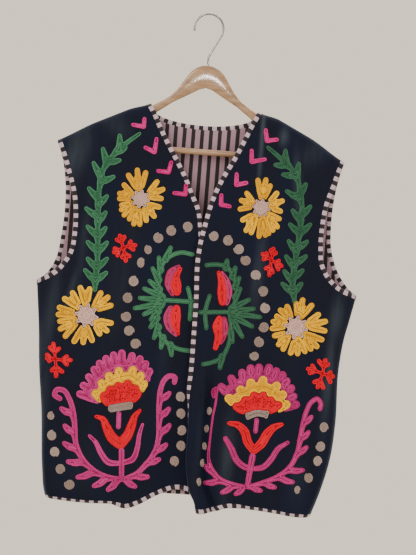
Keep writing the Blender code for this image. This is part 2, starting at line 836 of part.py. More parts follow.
def hook_path():
    """Centre line of the wire, from the tip over the top to the hub."""
    centre_z = WIRE_RADIUS - HOOK_RADIUS
    path = []
    for degrees in np.linspace(HOOK_TIP_DEG, HOOK_LEAVE_DEG, 19):
        angle = math.radians(degrees)
        path.append((HOOK_RADIUS * math.cos(angle), centre_z + HOOK_RADIUS * math.sin(angle)))
    leave = -math.radians(HOOK_LEAVE_DEG)
    x, z = path[-1]
    across = x - CENTRE_X - SHANK_BEND_RADIUS * (1.0 - math.cos(leave))
    down = across / math.tan(leave)
    for share in (0.25, 0.5, 0.75, 1.0):
        path.append((x - across * share, z - down * share))
    x, z = path[-1]
    for share in (0.5, 1.0):
        left = leave * (1.0 - share)
        path.append(
            (
                x - SHANK_BEND_RADIUS * (math.cos(left) - math.cos(leave)),
                z - SHANK_BEND_RADIUS * (math.sin(leave) - math.sin(left)),
            )
        )
    path.append((CENTRE_X, HUB_TOP_Z + GAP))
    return path


def hook(collection):
    path = hook_path()
    curve = bpy.data.curves.new("hanger_hook", "CURVE")
    curve.dimensions = "3D"
    curve.bevel_depth = WIRE_RADIUS
    curve.bevel_resolution = 2
    curve.use_fill_caps = True
    spline = curve.splines.new("POLY")
    spline.points.add(len(path) - 1)
    for point, (x, z) in zip(spline.points, path):
        point.co = (x, 0.0, z, 1.0)
    curve.materials.append(material(CHROME))
    collection.objects.link(bpy.data.objects.new("hanger_hook", curve))


def main():
    for old in list(bpy.data.objects):
        bpy.data.objects.remove(old, do_unlink=True)
    collection = bpy.data.collections.new("embroidered_folk_vest")
    bpy.context.scene.collection.children.link(collection)
    cloth(collection)
    yoke(collection)
    bar(collection)
    hook(collection)


main()
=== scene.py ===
import math

import bpy
import numpy as np
from mathutils import Matrix, Vector
from mathutils.bvhtree import BVHTree


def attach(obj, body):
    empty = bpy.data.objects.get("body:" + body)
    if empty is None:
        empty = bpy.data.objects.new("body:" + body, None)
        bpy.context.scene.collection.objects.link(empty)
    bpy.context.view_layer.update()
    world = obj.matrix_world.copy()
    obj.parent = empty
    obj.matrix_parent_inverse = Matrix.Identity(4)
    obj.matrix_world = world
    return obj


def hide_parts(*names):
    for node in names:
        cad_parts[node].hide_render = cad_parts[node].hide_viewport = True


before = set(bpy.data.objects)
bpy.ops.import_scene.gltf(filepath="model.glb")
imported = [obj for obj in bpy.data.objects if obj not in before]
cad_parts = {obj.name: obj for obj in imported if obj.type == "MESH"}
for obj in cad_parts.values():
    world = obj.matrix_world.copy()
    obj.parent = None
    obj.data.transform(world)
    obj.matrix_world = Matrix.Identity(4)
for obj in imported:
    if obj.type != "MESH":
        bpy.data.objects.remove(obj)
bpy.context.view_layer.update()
print("frame loaded:", len(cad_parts), "nodes")

# Camera: level, in front, rolled a little; lengths in metres
view = {
    "distance": 3.0,
    "planeY": -0.02,  # the plane where one pixel of the picture is pixelSize
    "pixelSize": 0.00175,
    "width": 416,
    "height": 555,
    "middleX": 0.0326,
    "middleZ": -0.461,
    "roll": 4.5,
}

roll = math.radians(view["roll"])
cameraRight = Vector((math.cos(roll), 0.0, math.sin(roll)))
cameraUp = Vector((-math.sin(roll), 0.0, math.cos(roll)))
cameraAt = Vector((view["middleX"], view["planeY"] - view["distance"], view["middleZ"]))


def addCamera():
    data = bpy.data.cameras.new("camera")
    data.sensor_width = 36.0
    data.lens = 36.0 * view["distance"] / (view["height"] * view["pixelSize"])
    camera = bpy.data.objects.new("camera", data)
    turn = Matrix((cameraRight, cameraUp, Vector((0.0, -1.0, 0.0)))).transposed()
    camera.matrix_world = Matrix.Translation(cameraAt) @ turn.to_4x4()
    bpy.context.scene.collection.objects.link(camera)
    bpy.context.scene.camera = camera


addCamera()

# How the vest is cut and how it hangs, seen from the front; side -1 is the viewer's left
drape = {
    "centreX": 0.003,
    "neckHalf": 0.094,
    "shoulderHalf": 0.2535,
    "neckZ": -0.164,
    "slope": 0.487,
    "shoulderRise": {-1: 0.0054, 1: 0.0078},
    "riseFromNeck": 0.26,  # share of the shoulder over which its arch comes and goes
    "riseToTip": 0.42,
    "overArm": 0.0120,  # radius of the turn over the hanger's arm
    "frontSwell": 0.033,
    "frontDrop": 0.78,
    "backSwell": 0.012,
    "backDrop": 0.30,
    "seamY": -0.004,
    "seam": 0.0003,
    "tape": 0.0090,  # width of the binding
    "tapeThick": 0.0031,
    "velvet": 0.0020,
    "endBlend": 0.045,
    "backHemZ": -0.849,
    "backNeckZ": -0.194,
}
slack = drape["overArm"] * (math.pi / 2 - 1.0)

sideLine = {  # z, half width, turn
    -1: [
        (-0.87, 0.2195, 0.012), (-0.852, 0.2255, 0.012), (-0.819, 0.2305, 0.011), (-0.713, 0.2405, 0.011),
        (-0.633, 0.251, 0.012), (-0.575, 0.256, 0.02), (-0.523, 0.262, 0.034), (-0.488, 0.266, 0.037),
        (-0.44, 0.268, 0.03), (-0.4, 0.29, 0.02), (-0.15, 0.29, 0.02),
    ],
    1: [
        (-0.866, 0.242, 0.012), (-0.829, 0.2545, 0.012), (-0.754, 0.2715, 0.012), (-0.7, 0.275, 0.013),
        (-0.603, 0.2735, 0.018), (-0.555, 0.278, 0.024), (-0.51, 0.287, 0.028), (-0.472, 0.294, 0.028),
        (-0.43, 0.296, 0.028), (-0.39, 0.3, 0.02), (-0.15, 0.3, 0.02),
    ],
}
underarmZ = {-1: -0.489, 1: -0.473}
sideHemZ = {-1: -0.866, 1: -0.864}
frontArmhole = {  # x, z from the underarm up
    -1: [
        (-0.247, -0.478), (-0.228, -0.459), (-0.214, -0.434), (-0.21, -0.399), (-0.211, -0.366),
        (-0.217, -0.33), (-0.228, -0.297), (-0.241, -0.262),
    ],
    1: [
        (0.272, -0.464), (0.25, -0.448), (0.234, -0.424), (0.229, -0.389), (0.2295, -0.352),
        (0.234, -0.316), (0.243, -0.286), (0.25, -0.26),
    ],
}
backArmhole = {
    -1: [
        (-0.256, -0.479), (-0.246, -0.466), (-0.237, -0.44), (-0.233, -0.408), (-0.23, -0.37),
        (-0.231, -0.325), (-0.238, -0.28),
    ],
    1: [
        (0.284, -0.463), (0.272, -0.45), (0.257, -0.425), (0.246, -0.391), (0.243, -0.355), (0.244, -0.312),
        (0.25, -0.27),
    ],
}
frontEdge = {  # x, z from the hem up
    -1: [
        (0.046, -0.842), (0.043, -0.74), (0.036, -0.62), (0.028, -0.5), (0.0215, -0.43), (0.0168, -0.378),
        (0.0098, -0.343), (-0.003, -0.317), (-0.017, -0.288), (-0.035, -0.258), (-0.052, -0.231),
        (-0.068, -0.203), (-0.082, -0.177),
    ],
    1: [
        (0.038, -0.867), (0.0345, -0.852), (0.0255, -0.835), (0.017, -0.8), (0.0135, -0.72), (0.012, -0.6),
        (0.011, -0.5), (0.0085, -0.432), (0.011, -0.4), (0.0165, -0.37), (0.0222, -0.34), (0.031, -0.31),
        (0.044, -0.279), (0.059, -0.25), (0.073, -0.218), (0.086, -0.187),
    ],
}
frontHem = {  # x, z from the front edge outwards
    -1: [
        (0.046, -0.842), (0.01, -0.833), (-0.029, -0.847), (-0.06, -0.865), (-0.078, -0.872), (-0.1, -0.87),
        (-0.15, -0.871), (-0.2, -0.869),
    ],
    1: [
        (0.038, -0.867), (0.056, -0.87), (0.074, -0.867), (0.095, -0.858), (0.137, -0.86), (0.18, -0.863),
        (0.22, -0.866),
    ],
}
underStep = {  # how far the front that lies under stands behind the one on top, and where
    "top": 0.007,
    "hem": 0.014,
    "growsZ": (-0.40, 0.4),  # start and length of each fade
    "startsZ": (-0.19, 0.12),
    "startsX": (-0.075, 0.085),
}
edgeRoll = {  # the rolled front edge of the front on top, measured in from its edge
    "topZ": -0.590,
    "fullZ": -0.690,
    "crest": 0.018,
    "width": 0.012,
    "height": 0.013,
    "creaseAt": 0.0365,
    "creaseWidth": 0.0065,
    "creaseDepth": 0.010,
    "curlWidth": 0.014,
    "curlDepth": 0.002,
    "curlMost": 1.2,
    "turnWidth": 0.0165,  # how much of the edge rolls back behind itself, and how tightly
    "turnRadius": 0.0042,
    "turnMost": 0.019,
    "turnTopZ": -0.620,
    "turnFullZ": -0.735,
    "letOut": 0.0074,
    "turnReach": 0.070,
}
softFolds = {  # x and z at the top, x and z at the bottom, half width, how far it stands out
    -1: [
        (-0.15, -0.33, -0.185, -0.9, 0.028, 0.0035), (-0.07, -0.56, -0.11, -0.9, 0.026, -0.004),
        (-0.175, -0.215, -0.165, -0.33, 0.02, 0.0022), (-0.035, -0.64, -0.05, -0.9, 0.02, 0.005),
    ],
    1: [
        (0.108, -0.38, 0.092, -0.9, 0.022, 0.004), (0.185, -0.225, 0.19, -0.36, 0.018, 0.0025),
        (0.15, -0.6, 0.15, -0.9, 0.024, -0.0035), (0.205, -0.52, 0.21, -0.9, 0.022, 0.004),
    ],
    0: [
        (-0.15, -0.3, -0.165, -0.9, 0.03, 0.006), (-0.06, -0.42, -0.07, -0.9, 0.032, -0.005),
        (0.035, -0.36, 0.03, -0.9, 0.034, 0.0055), (0.125, -0.46, 0.14, -0.9, 0.028, -0.0045),
        (0.205, -0.4, 0.215, -0.9, 0.024, 0.005),
    ],
}
creases = {  # finer creases, the same columns, fading at both ends
    -1: [(-0.216, -0.47, -0.222, -0.52, 0.006, -0.002), (-0.222, -0.505, -0.24, -0.6, 0.0065, -0.0018)],
    1: [
        (0.106, -0.17, 0.106, -0.3, 0.0035, 0.0016), (0.143, -0.19, 0.147, -0.215, 0.004, 0.0014),
        (0.262, -0.49, 0.256, -0.56, 0.0055, 0.0022),
    ],
    0: [],
}
sheenStreaks = {  # painted sheen: lighter streaks in the velvet's colour where its sheen catches the light: x, z, half width, half height, lean of x over z, strength
    -1: [
        (-0.215, -0.262, 0.024, 0.06, 0.2, 0.6), (-0.15, -0.205, 0.03, 0.03, -0.5, 0.35),
        (-0.24, -0.56, 0.014, 0.11, 0.1, 0.5), (-0.205, -0.505, 0.008, 0.07, 0.22, 0.45),
        (-0.19, -0.42, 0.01, 0.09, 0.05, 0.35), (-0.12, -0.48, 0.03, 0.15, 0.1, 0.22),
        (-0.15, -0.8, 0.05, 0.06, 0.05, 0.2), (-0.238, -0.72, 0.012, 0.12, 0.02, 0.4),
        (-0.03, -0.56, 0.016, 0.12, 0.06, 0.25),
    ],
    1: [
        (0.108, -0.215, 0.0045, 0.085, 0.0, 0.95), (0.146, -0.205, 0.01, 0.018, 0.0, 0.8),
        (0.176, -0.285, 0.009, 0.06, -0.1, 0.6), (0.12, -0.44, 0.012, 0.09, 0.05, 0.5),
        (0.2, -0.23, 0.03, 0.03, 0.5, 0.35), (0.262, -0.52, 0.014, 0.05, 0.05, 0.6),
        (0.255, -0.62, 0.01, 0.11, 0.02, 0.6), (0.09, -0.77, 0.014, 0.08, 0.02, 0.55),
        (0.19, -0.56, 0.026, 0.14, 0.05, 0.12), (0.215, -0.8, 0.022, 0.06, 0.02, 0.25),
        (0.038, -0.74, 0.008, 0.12, 0.0, 0.28),
    ],
    0: [
        (-0.12, -0.5, 0.05, 0.2, 0.0, 0.35), (0.06, -0.6, 0.06, 0.18, 0.0, 0.35),
        (0.17, -0.38, 0.04, 0.12, 0.1, 0.3),
    ],
}
hemCurl = {  # where a hem turns under: x that it starts at, height of the turn, its radius
    -1: (-0.078, 0.0105, 0.0068),
    1: (0.098, 0.0100, 0.0080),
    "fade": 0.030,
}
cutLine = {"points": 240, "finePoints": 960, "hemSweep": 0.7, "neckSweep": 0.85, "leastSkew": 0.7}


def ease(t):
    t = np.clip(t, 0.0, 1.0)
    return t * t * (3.0 - 2.0 * t)


def curveAt(x, xs, ys):  # a smooth curve through the points, read at x
    xs, ys = np.asarray(xs, float), np.asarray(ys, float)
    slopes = np.gradient(ys, xs)
    i = np.clip(np.searchsorted(xs, x) - 1, 0, len(xs) - 2)
    step = xs[i + 1] - xs[i]
    t = np.clip((x - xs[i]) / step, 0.0, 1.0)
    value = (1 + 2 * t) * (1 - t) ** 2 * ys[i] + t * t * (3 - 2 * t) * ys[i + 1]
    return value + step * (t * (1 - t) ** 2 * slopes[i] + t * t * (t - 1) * slopes[i + 1])


def lengths(points):
    return np.concatenate([[0.0], np.cumsum(np.linalg.norm(np.diff(points, axis=0), axis=1))])


def pointsAt(at, run, line):  # the points of a line at the given places of its run
    return np.stack([np.interp(at, run, line[:, k]) for k in range(2)], axis=-1)


def shoulderRise(x):  # both shoulders stand in a low arch
    share = (np.abs(x - drape["centreX"]) - drape["neckHalf"]) / (drape["shoulderHalf"] - drape["neckHalf"])
    rise = np.where(x < drape["centreX"], drape["shoulderRise"][-1], drape["shoulderRise"][1])
    return rise * ease(share / drape["riseFromNeck"]) * ease((1.0 - share) / drape["riseToTip"])


def shoulderZ(x):
    straight = drape["neckZ"] - (np.abs(x - drape["centreX"]) - drape["neckHalf"]) * drape["slope"]
    return straight + shoulderRise(x)


def shoulderPoint(side, half):
    x = drape["centreX"] + side * half
    return np.array([x, shoulderZ(x)])


def flatZ(x, z):  # height on the flat cut of cloth that is seen at x, z
    radius = drape["overArm"]
    drop = np.clip(shoulderZ(x) - z, 0.0, radius)
    return z - (radius * np.arccos(1.0 - drop / radius) - drop)


def evenly(x, z):
    flat = np.stack([x, flatZ(x, z)], axis=-1)
    run = lengths(flat)
    return pointsAt(np.linspace(0, run[-1], cutLine["points"]), run, flat)


def smoothLine(points):
    points = np.asarray(points, float)
    run = lengths(points)
    at = np.linspace(0, run[-1], cutLine["finePoints"])
    return evenly(curveAt(at, run, points[:, 0]), curveAt(at, run, points[:, 1]))


def pick(line, shares):
    at = np.asarray(shares, float) * (len(line) - 1)
    return pointsAt(at, np.arange(len(line)), line)


def overArm(x, flat):
    radius = drape["overArm"]
    drop = shoulderZ(x) - flat
    angle = np.clip(drop / radius, -0.2, math.pi / 2)
    hanging = np.maximum(drop - radius * math.pi / 2, 0.0)
    return shoulderZ(x) - radius * (1.0 - np.cos(angle)) - hanging, radius * np.sin(angle)


foldFade = {"soft": 2.2, "crease": 3.0}  # how soon a fold reaches its full height


def foldRise(side, x, z):
    rise = np.zeros_like(x + z)
    for kind, folds in (("soft", softFolds[side]), ("crease", creases[side])):
        for xTop, zTop, xBottom, zBottom, halfWidth, height in folds:
            down = (zTop - z) / (zTop - zBottom)
            middle = xTop + (xBottom - xTop) * down
            fade = ease(down * foldFade[kind])
            if kind == "crease":
                fade = fade * ease((1.0 - down) * foldFade[kind])
            rise = rise + height * fade * np.exp(-(((x - middle) / halfWidth) ** 2))
    return rise


def frontDepth(side, x, z, over=drape["overArm"]):
    drop = np.maximum(shoulderZ(x) - z, 0.0)
    y = -over - drape["frontSwell"] * ease(drop / drape["frontDrop"]) - drape["seam"]
    y = y - foldRise(side, x, z)
    if side < 0:
        lowZ, lowLong = underStep["growsZ"]
        topZ, topLong = underStep["startsZ"]
        startX, wide = underStep["startsX"]
        step = underStep["top"] + (underStep["hem"] - underStep["top"]) * ease((lowZ - z) / lowLong)
        return y + step * ease((x - startX) / wide) * ease((topZ - z) / topLong)
    edge = np.array(frontEdge[1])
    inward = x - curveAt(z, edge[:, 1], edge[:, 0])
    share = ease((edgeRoll["topZ"] - z) / (edgeRoll["topZ"] - edgeRoll["fullZ"]))
    crest = np.exp(-(((inward - edgeRoll["crest"]) / edgeRoll["width"]) ** 2))
    groove = np.exp(-(((inward - edgeRoll["creaseAt"]) / edgeRoll["creaseWidth"]) ** 2))
    curl = np.clip(1.0 - inward / edgeRoll["curlWidth"], 0.0, edgeRoll["curlMost"]) ** 2
    rise = edgeRoll["creaseDepth"] * groove - edgeRoll["height"] * crest + edgeRoll["curlDepth"] * curl
    return y + share * rise


def backDepth(x, z, over=drape["overArm"]):
    drop = np.maximum(shoulderZ(x) - z, 0.0)
    return over + drape["backSwell"] * ease(drop / drape["backDrop"]) + drape["seam"] + foldRise(0, x, z)


def sideTurn(side, z, depth):
    table = np.array(sideLine[side])
    turn = curveAt(z, table[:, 0], table[:, 2])
    start = curveAt(z, table[:, 0], table[:, 1]) - turn
    deep = np.abs(drape["seamY"] - depth(side * start, z))
    return start, turn, deep, math.pi / 2 * np.sqrt((turn**2 + deep**2) / 2)


def bendRound(side, flat, depth, facing):
    x = flat[..., 0]
    z, over = overArm(x, flat[..., 1])
    start, turn, deep, length = sideTurn(side, z, depth)
    angle = np.clip((side * x - start) / length, 0.0, 1.0) * math.pi / 2
    kept = side * np.minimum(side * x, start)
    y = depth(kept, z, over) - facing * deep * (1.0 - np.cos(angle))
    return np.stack([kept + side * turn * np.sin(angle), y, z], axis=-1)


def depthOf(side, facing):
    if facing > 0:
        return backDepth
    return lambda x, z, over=drape["overArm"]: frontDepth(side, x, z, over)


def turnBehind(place, flat):  # the upper front's edge rolls back behind itself
    edge = edgeLine(1, 0.0)
    inward = flat[..., 0] - np.interp(flat[..., 1], edge[:, 1], edge[:, 0])
    top, full, radius = edgeRoll["turnTopZ"], edgeRoll["turnFullZ"], edgeRoll["turnRadius"]
    fade = ease((top - flat[..., 1]) / (top - full))
    past = np.clip(edgeRoll["turnWidth"] - inward, 0.0, edgeRoll["turnMost"]) * fade
    angle = past / radius
    letOut = edgeRoll["letOut"] * fade * ease(1.0 - inward / edgeRoll["turnReach"])
    move = [past - radius * np.sin(angle) - letOut, radius * (1.0 - np.cos(angle)), np.zeros_like(past)]
    return place + np.stack(move, axis=-1)


def turnUnder(side, place, flat):  # the hem's last centimetre rolls back under itself
    if side > 0:
        place = turnBehind(place, flat)
    startX, height, radius = hemCurl[side]
    hem = hemLine(side, 0.0)
    order = np.argsort(hem[:, 0])
    low = np.interp(flat[..., 0], hem[order, 0], hem[order, 1])
    share = ease(side * (flat[..., 0] - startX) / hemCurl["fade"])
    past = np.clip(height - (flat[..., 1] - low), 0.0, height) * share
    angle = past / radius
    move = [np.zeros_like(past), radius * (1.0 - np.cos(angle)), past - radius * np.sin(angle)]
    return place + np.stack(move, axis=-1)


def surfaceOf(side):  # from flat points to their place; side 0 is the back
    if side:
        return lambda flat: turnUnder(side, bendRound(side, flat, depthOf(side, -1), -1), flat)

    def wholeBack(flat):
        left, right = (bendRound(way, flat, backDepth, 1) for way in (-1, 1))
        return np.where(flat[..., :1] < drape["centreX"], left, right)

    return wholeBack


def normalsOf(surface, flat, facing):
    tiny = 0.0004
    across = surface(flat + (tiny, 0.0)) - surface(flat - (tiny, 0.0))
    up = surface(flat + (0.0, tiny)) - surface(flat - (0.0, tiny))
    n = np.cross(across, up)
    return -facing * n / np.maximum(np.linalg.norm(n, axis=-1, keepdims=True), 1e-12)


def seamPoint(side, z, facing):
    start, _, _, length = sideTurn(side, np.float64(z), depthOf(side, facing))
    return np.array([side * (start + length), z - slack])


def inset(line, width, first, last):  # moved sideways; first and last are the ways its ends move
    along = np.gradient(line, axis=0)
    across = np.stack([-along[:, 1], along[:, 0]], axis=-1)
    across /= np.linalg.norm(across, axis=1, keepdims=True)
    across *= np.sign(across[len(line) // 2] @ (np.asarray(first) + np.asarray(last)))
    run = lengths(line)
    for distance, way in ((run, first), (run[-1] - run, last)):
        way = np.asarray(way, float) / np.linalg.norm(way)
        skew = way / np.maximum(np.abs(across @ way), cutLine["leastSkew"])[:, None]
        across = across + (skew - across) * ease(1.0 - distance / drape["endBlend"])[:, None]
    return line + across * width


def alongShoulder(side, way):
    return np.array([side, -drape["slope"]]) * way


def armholeLine(side, facing, width):
    table = (backArmhole if facing > 0 else frontArmhole)[side]
    seam = seamPoint(side, underarmZ[side], facing) + (0.0, slack)
    line = smoothLine(np.vstack([seam, table, shoulderPoint(side, drape["shoulderHalf"])]))
    if width == 0.0:
        return line
    moved = inset(line, width, (0.0, -1.0), alongShoulder(side, -1))
    moved[0] = seamPoint(side, moved[0, 1] + slack, facing)
    return moved


def edgeLine(side, width):
    line = smoothLine(np.vstack([frontEdge[side], shoulderPoint(side, drape["neckHalf"])]))
    return inset(line, width, (side, 0.0), alongShoulder(side, 1)) if width else line


def hemLine(side, width):
    seam = seamPoint(side, sideHemZ[side], -1) + (0.0, slack)
    line = smoothLine(np.vstack([frontHem[side], seam]))
    if width == 0.0:
        return line
    moved = inset(line, width, (0.0, 1.0), (0.0, 1.0))
    moved[-1] = seamPoint(side, sideHemZ[side] + width, -1)
    return moved


def backHemLine(width):
    ends = [seamPoint(side, sideHemZ[side] + width, 1) for side in (-1, 1)]
    share = np.linspace(0, 1, cutLine["points"])[:, None]
    line = ends[0] + (ends[1] - ends[0]) * share
    middle = drape["backHemZ"] - slack + width
    line[:, 1] += (middle - line[:, 1]) * np.sin(math.pi * share[:, 0]) ** cutLine["hemSweep"]
    return line


def backNeckLine(width):
    angle = np.linspace(-1, 1, cutLine["finePoints"]) * math.pi / 2
    x = drape["centreX"] + drape["neckHalf"] * np.sin(angle)
    z = drape["neckZ"] + (drape["backNeckZ"] - drape["neckZ"]) * np.cos(angle) ** cutLine["neckSweep"]
    line = evenly(x, z)
    return inset(line, width, alongShoulder(-1, 1), alongShoulder(1, 1)) if width else line


def crossing(lower, edge):
    order, rise = np.argsort(lower[:, 0]), np.argsort(edge[:, 1])
    x = edge[0, 0]
    for _ in range(8):
        z = np.interp(x, lower[order, 0], lower[order, 1])
        x = np.interp(z, edge[rise, 1], edge[rise, 0])
    return np.array([x, z])


def shareAt(line, z):
    return np.interp(z, line[:, 1], np.linspace(0, 1, len(line)))


# Panels: finer grids on the same cut, tucked into the bindings
panels = {
    "tuck": 0.0050,  # how far in from the raw edge a panel ends, inside its binding
    "bodyRows": 104,
    "armRows": 72,
    "edgeStep": 0.0018,
    "edgeZone": 0.056,
    "wideColumns": 62,
    "sideColumns": 16,
    "sideZone": 0.036,
    "underarmEdgeZ": -0.445,
    "hemFade": 0.6,  # share of the body's rows that still follow the hem's line
    "archPower": 1.5,  # how the rows above the underarm come up to the shoulder's arch
    "backEase": 1.15,
    "backPower": 1.6,
    "shoulderColumns": 37,
    "neckColumns": 61,
}
walls = {"front": (0.0010, -0.0010), "back": (0.00065, -0.00065), "lining": (-0.00072, -0.00135)}


def upperShares():
    return np.linspace(0, 1, panels["armRows"] + 1)[1:]


def edgeShares(side, width):
    edge = edgeLine(side, width)
    low = shareAt(edge, crossing(hemLine(side, width), edge)[1])
    middle = shareAt(edge, panels["underarmEdgeZ"])
    body = np.linspace(low, middle, panels["bodyRows"] + 1)
    return np.concatenate([body, middle + (1.0 - middle) * upperShares()])


def outerPoints(side, hemZ, facing, width):
    arm = armholeLine(side, facing, width)
    heights = np.linspace(hemZ, arm[0, 1], panels["bodyRows"] + 1) + slack
    seam = [seamPoint(side, z, facing) for z in heights]
    return np.vstack([seam, pick(arm, upperShares())])


def frontFlat(side):
    width = panels["tuck"]
    hem = hemLine(side, width)
    outer = outerPoints(side, hem[-1, 1], -1, width)
    inner = pick(edgeLine(side, width), edgeShares(side, width))
    order = np.argsort(hem[:, 0])
    topScale = (panels["bodyRows"] / panels["armRows"]) ** panels["archPower"]
    near = np.arange(0.0, panels["edgeZone"], panels["edgeStep"])
    far = np.linspace(panels["sideZone"], 0.0, panels["sideColumns"] + 1)
    grid = []
    for row, (a, b) in enumerate(zip(inner, outer)):
        across = np.linalg.norm(b - a)
        wide = np.linspace(near[-1], across - far[0], panels["wideColumns"] + 2)[1:-1]
        points = a + (b - a) * (np.concatenate([near, wide, across - far]) / across)[:, None]
        if row == 0:
            level = np.interp(points[:, 0], hem[order, 0], hem[order, 1]) - points[:, 1]
            level[0] = level[-1] = 0.0
        points[:, 1] += level * (1.0 - ease(row / (panels["bodyRows"] * panels["hemFade"])))
        past = max(row / panels["bodyRows"] - 1.0, 0.0)
        points[:, 1] += shoulderRise(points[:, 0]) * past ** panels["archPower"] * topScale
        grid.append(points)
    return np.array(grid)


def backFlat():
    width = panels["tuck"]
    hem, neck = backHemLine(width), backNeckLine(width)
    left, right = outerPoints(-1, hem[0, 1], 1, width), outerPoints(1, hem[-1, 1], 1, width)
    slope = np.linspace(0, 1, panels["shoulderColumns"])[:, None]
    leftTop = left[-1] + (neck[0] - left[-1]) * slope
    rightTop = neck[-1] + (right[-1] - neck[-1]) * slope
    leftTop[:, 1] += shoulderRise(leftTop[:, 0])
    rightTop[:, 1] += shoulderRise(rightTop[:, 0])
    middleTop = pick(neck, np.linspace(0, 1, panels["neckColumns"]))
    top = np.vstack([leftTop[:-1], middleTop, rightTop[1:]])
    topShare = (top[:, 0] - left[-1, 0]) / (right[-1, 0] - left[-1, 0])
    topLift = top[:, 1] - (left[-1, 1] + (right[-1, 1] - left[-1, 1]) * topShare)
    lowShare = np.linspace(0, 1, len(top))
    level = np.interp(lowShare, np.linspace(0, 1, len(hem)), hem[:, 1])
    level -= left[0, 1] + (right[0, 1] - left[0, 1]) * lowShare
    rises = np.concatenate([np.zeros(panels["bodyRows"] + 1), upperShares()])
    grid = []
    for row, (a, b) in enumerate(zip(left, right)):
        share = lowShare + (topShare - lowShare) * ease(rises[row] * panels["backEase"])
        points = a + (b - a) * share[:, None]
        points[:, 1] += topLift * rises[row] ** panels["backPower"]
        points[:, 1] += level * (1.0 - ease(row / (panels["bodyRows"] * panels["hemFade"])))
        grid.append(points)
    return np.array(grid)


def meshPiece(name, points, faces, looks, slots=None, uv=None, shades=None):
    mesh = bpy.data.meshes.new(name)
    mesh.from_pydata(np.asarray(points).reshape(-1, 3).tolist(), [], faces)
    for look in looks:
        mesh.materials.append(look)
    if slots is not None:
        mesh.polygons.foreach_set("material_index", np.asarray(slots, np.int32))
    if uv is not None:
        corners = np.empty(len(mesh.loops), np.int32)
        mesh.loops.foreach_get("vertex_index", corners)
        layer = mesh.uv_layers.new(name="flat")
        layer.data.foreach_set("uv", np.asarray(uv, float).reshape(-1, 2)[corners].ravel())
    if shades is not None:
        layer = mesh.attributes.new("shade", "FLOAT", "POINT")
        layer.data.foreach_set("value", np.asarray(shades, np.float32).ravel())
    mesh.shade_smooth()
    piece = bpy.data.objects.new(name, mesh)
    bpy.context.scene.collection.objects.link(piece)
    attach(piece, "root")
    return piece


def gridFaces(rows, columns, start, turned):
    i, j = np.meshgrid(np.arange(rows - 1), np.arange(columns - 1), indexing="ij")
    a = start + (i * columns + j).ravel()
    quads = np.stack([a, a + 1, a + columns + 1, a + columns], axis=1)
    return (quads[:, ::-1] if turned else quads).tolist()


def shell(name, side, flat, wall, looks):  # a closed wall of cloth on a panel's cut
    facing = -1 if side else 1
    turned = side <= 0
    surface = surfaceOf(side)
    middle, out = surface(flat), normalsOf(surface, flat, facing)
    rows, columns = flat.shape[:2]
    count = rows * columns
    points = np.concatenate([(middle + out * at).reshape(-1, 3) for at in walls[wall]])
    faces = gridFaces(rows, columns, 0, turned) + gridFaces(rows, columns, count, not turned)
    slots = [0] * (len(faces) // 2) + [1] * (len(faces) // 2)
    ring = (
        list(range(columns))
        + [i * columns + columns - 1 for i in range(1, rows)]
        + [(rows - 1) * columns + j for j in range(columns - 2, -1, -1)]
        + [i * columns for i in range(rows - 2, 0, -1)]
    )
    for a, b in zip(ring, ring[1:] + ring[:1]):
        face = (b, a, a + count, b + count)
        faces.append(face[::-1] if turned else face)
        slots.append(0)
    uv = np.concatenate([flat.reshape(-1, 2)] * 2)
    # painted sheen: per point, how much of the lighter sheen colour the velvet gets
    nap = np.zeros(len(points))
    for x, z, wide, tall, lean, strength in sheenStreaks[side]:
        down = points[:, 2] - z
        across = points[:, 0] - x - lean * down
        nap = np.maximum(nap, strength * np.exp(-((across / wide) ** 2) - (down / tall) ** 2))
    piece = meshPiece(name, points, faces, looks, slots, uv)
    layer = piece.data.attributes.new("nap", "FLOAT", "POINT")
    layer.data.foreach_set("value", nap.astype(np.float32))
    return piece


class Shade:  # a socket of a material; its operators add Math nodes
    def __init__(self, tree, socket=None):
        self.tree, self.socket = tree, socket

    def node(self, kind, settings=None, sockets=None, out=0):
        made = self.tree.nodes.new("ShaderNode" + kind)
        for name, value in (settings or {}).items():
            if name == "stops":
                ramp = made.color_ramp.elements
                ramp[0].position, ramp[1].position = value[0][0], value[-1][0]
                for place, _ in value[1:-1]:
                    ramp.new(place)
                for element, (_, colour) in zip(ramp, value):
                    element.color = (*colour, 1.0)
            else:
                setattr(made, name, value)
        for name, value in (sockets or {}).items():
            if isinstance(value, Shade):
                self.tree.links.new(value.socket, made.inputs[name])
            else:
                made.inputs[name].default_value = value
        return Shade(self.tree, made.outputs[out])

    def maths(self, operation, *values):
        return self.node("Math", {"operation": operation}, dict(enumerate(values)))

    def mix(self, low, high):  # this socket is the factor between two colours
        ends = [x if isinstance(x, Shade) else (*x, 1.0) for x in (low, high)]
        return self.node("Mix", {"data_type": "RGBA"}, {0: self, 6: ends[0], 7: ends[1]}, out=2)

    def between(self, low, high):  # 0 below low, 1 above high, smooth between
        sockets = {"Value": self, "From Min": low, "From Max": high}
        return self.node("MapRange", {"interpolation_type": "SMOOTHSTEP"}, sockets)

    def bump(self, strength, distance=1.0):  # this socket is a height in metres
        return self.node("Bump", None, {"Strength": strength, "Distance": distance, "Height": self})

    def __add__(self, other):
        return self.maths("ADD", self, other)

    def __mul__(self, other):
        return self.maths("MULTIPLY", self, other)

    def __sub__(self, other):
        return self.maths("SUBTRACT", self, other)

    def __rsub__(self, other):
        return self.maths("SUBTRACT", other, self)

    def __truediv__(self, other):
        return self.maths("DIVIDE", self, other)

    def __mod__(self, other):
        return self.maths("FLOORED_MODULO", self, other)

    def __lt__(self, other):
        return self.maths("LESS_THAN", self, other)

    __radd__, __rmul__ = __add__, __mul__


def newLook(name, constants):
    look = bpy.data.materials.new(name)
    look.use_nodes = True
    shader = look.node_tree.nodes["Principled BSDF"]
    for socket, value in constants.items():
        shader.inputs[socket].default_value = value
    return look, Shade(look.node_tree)


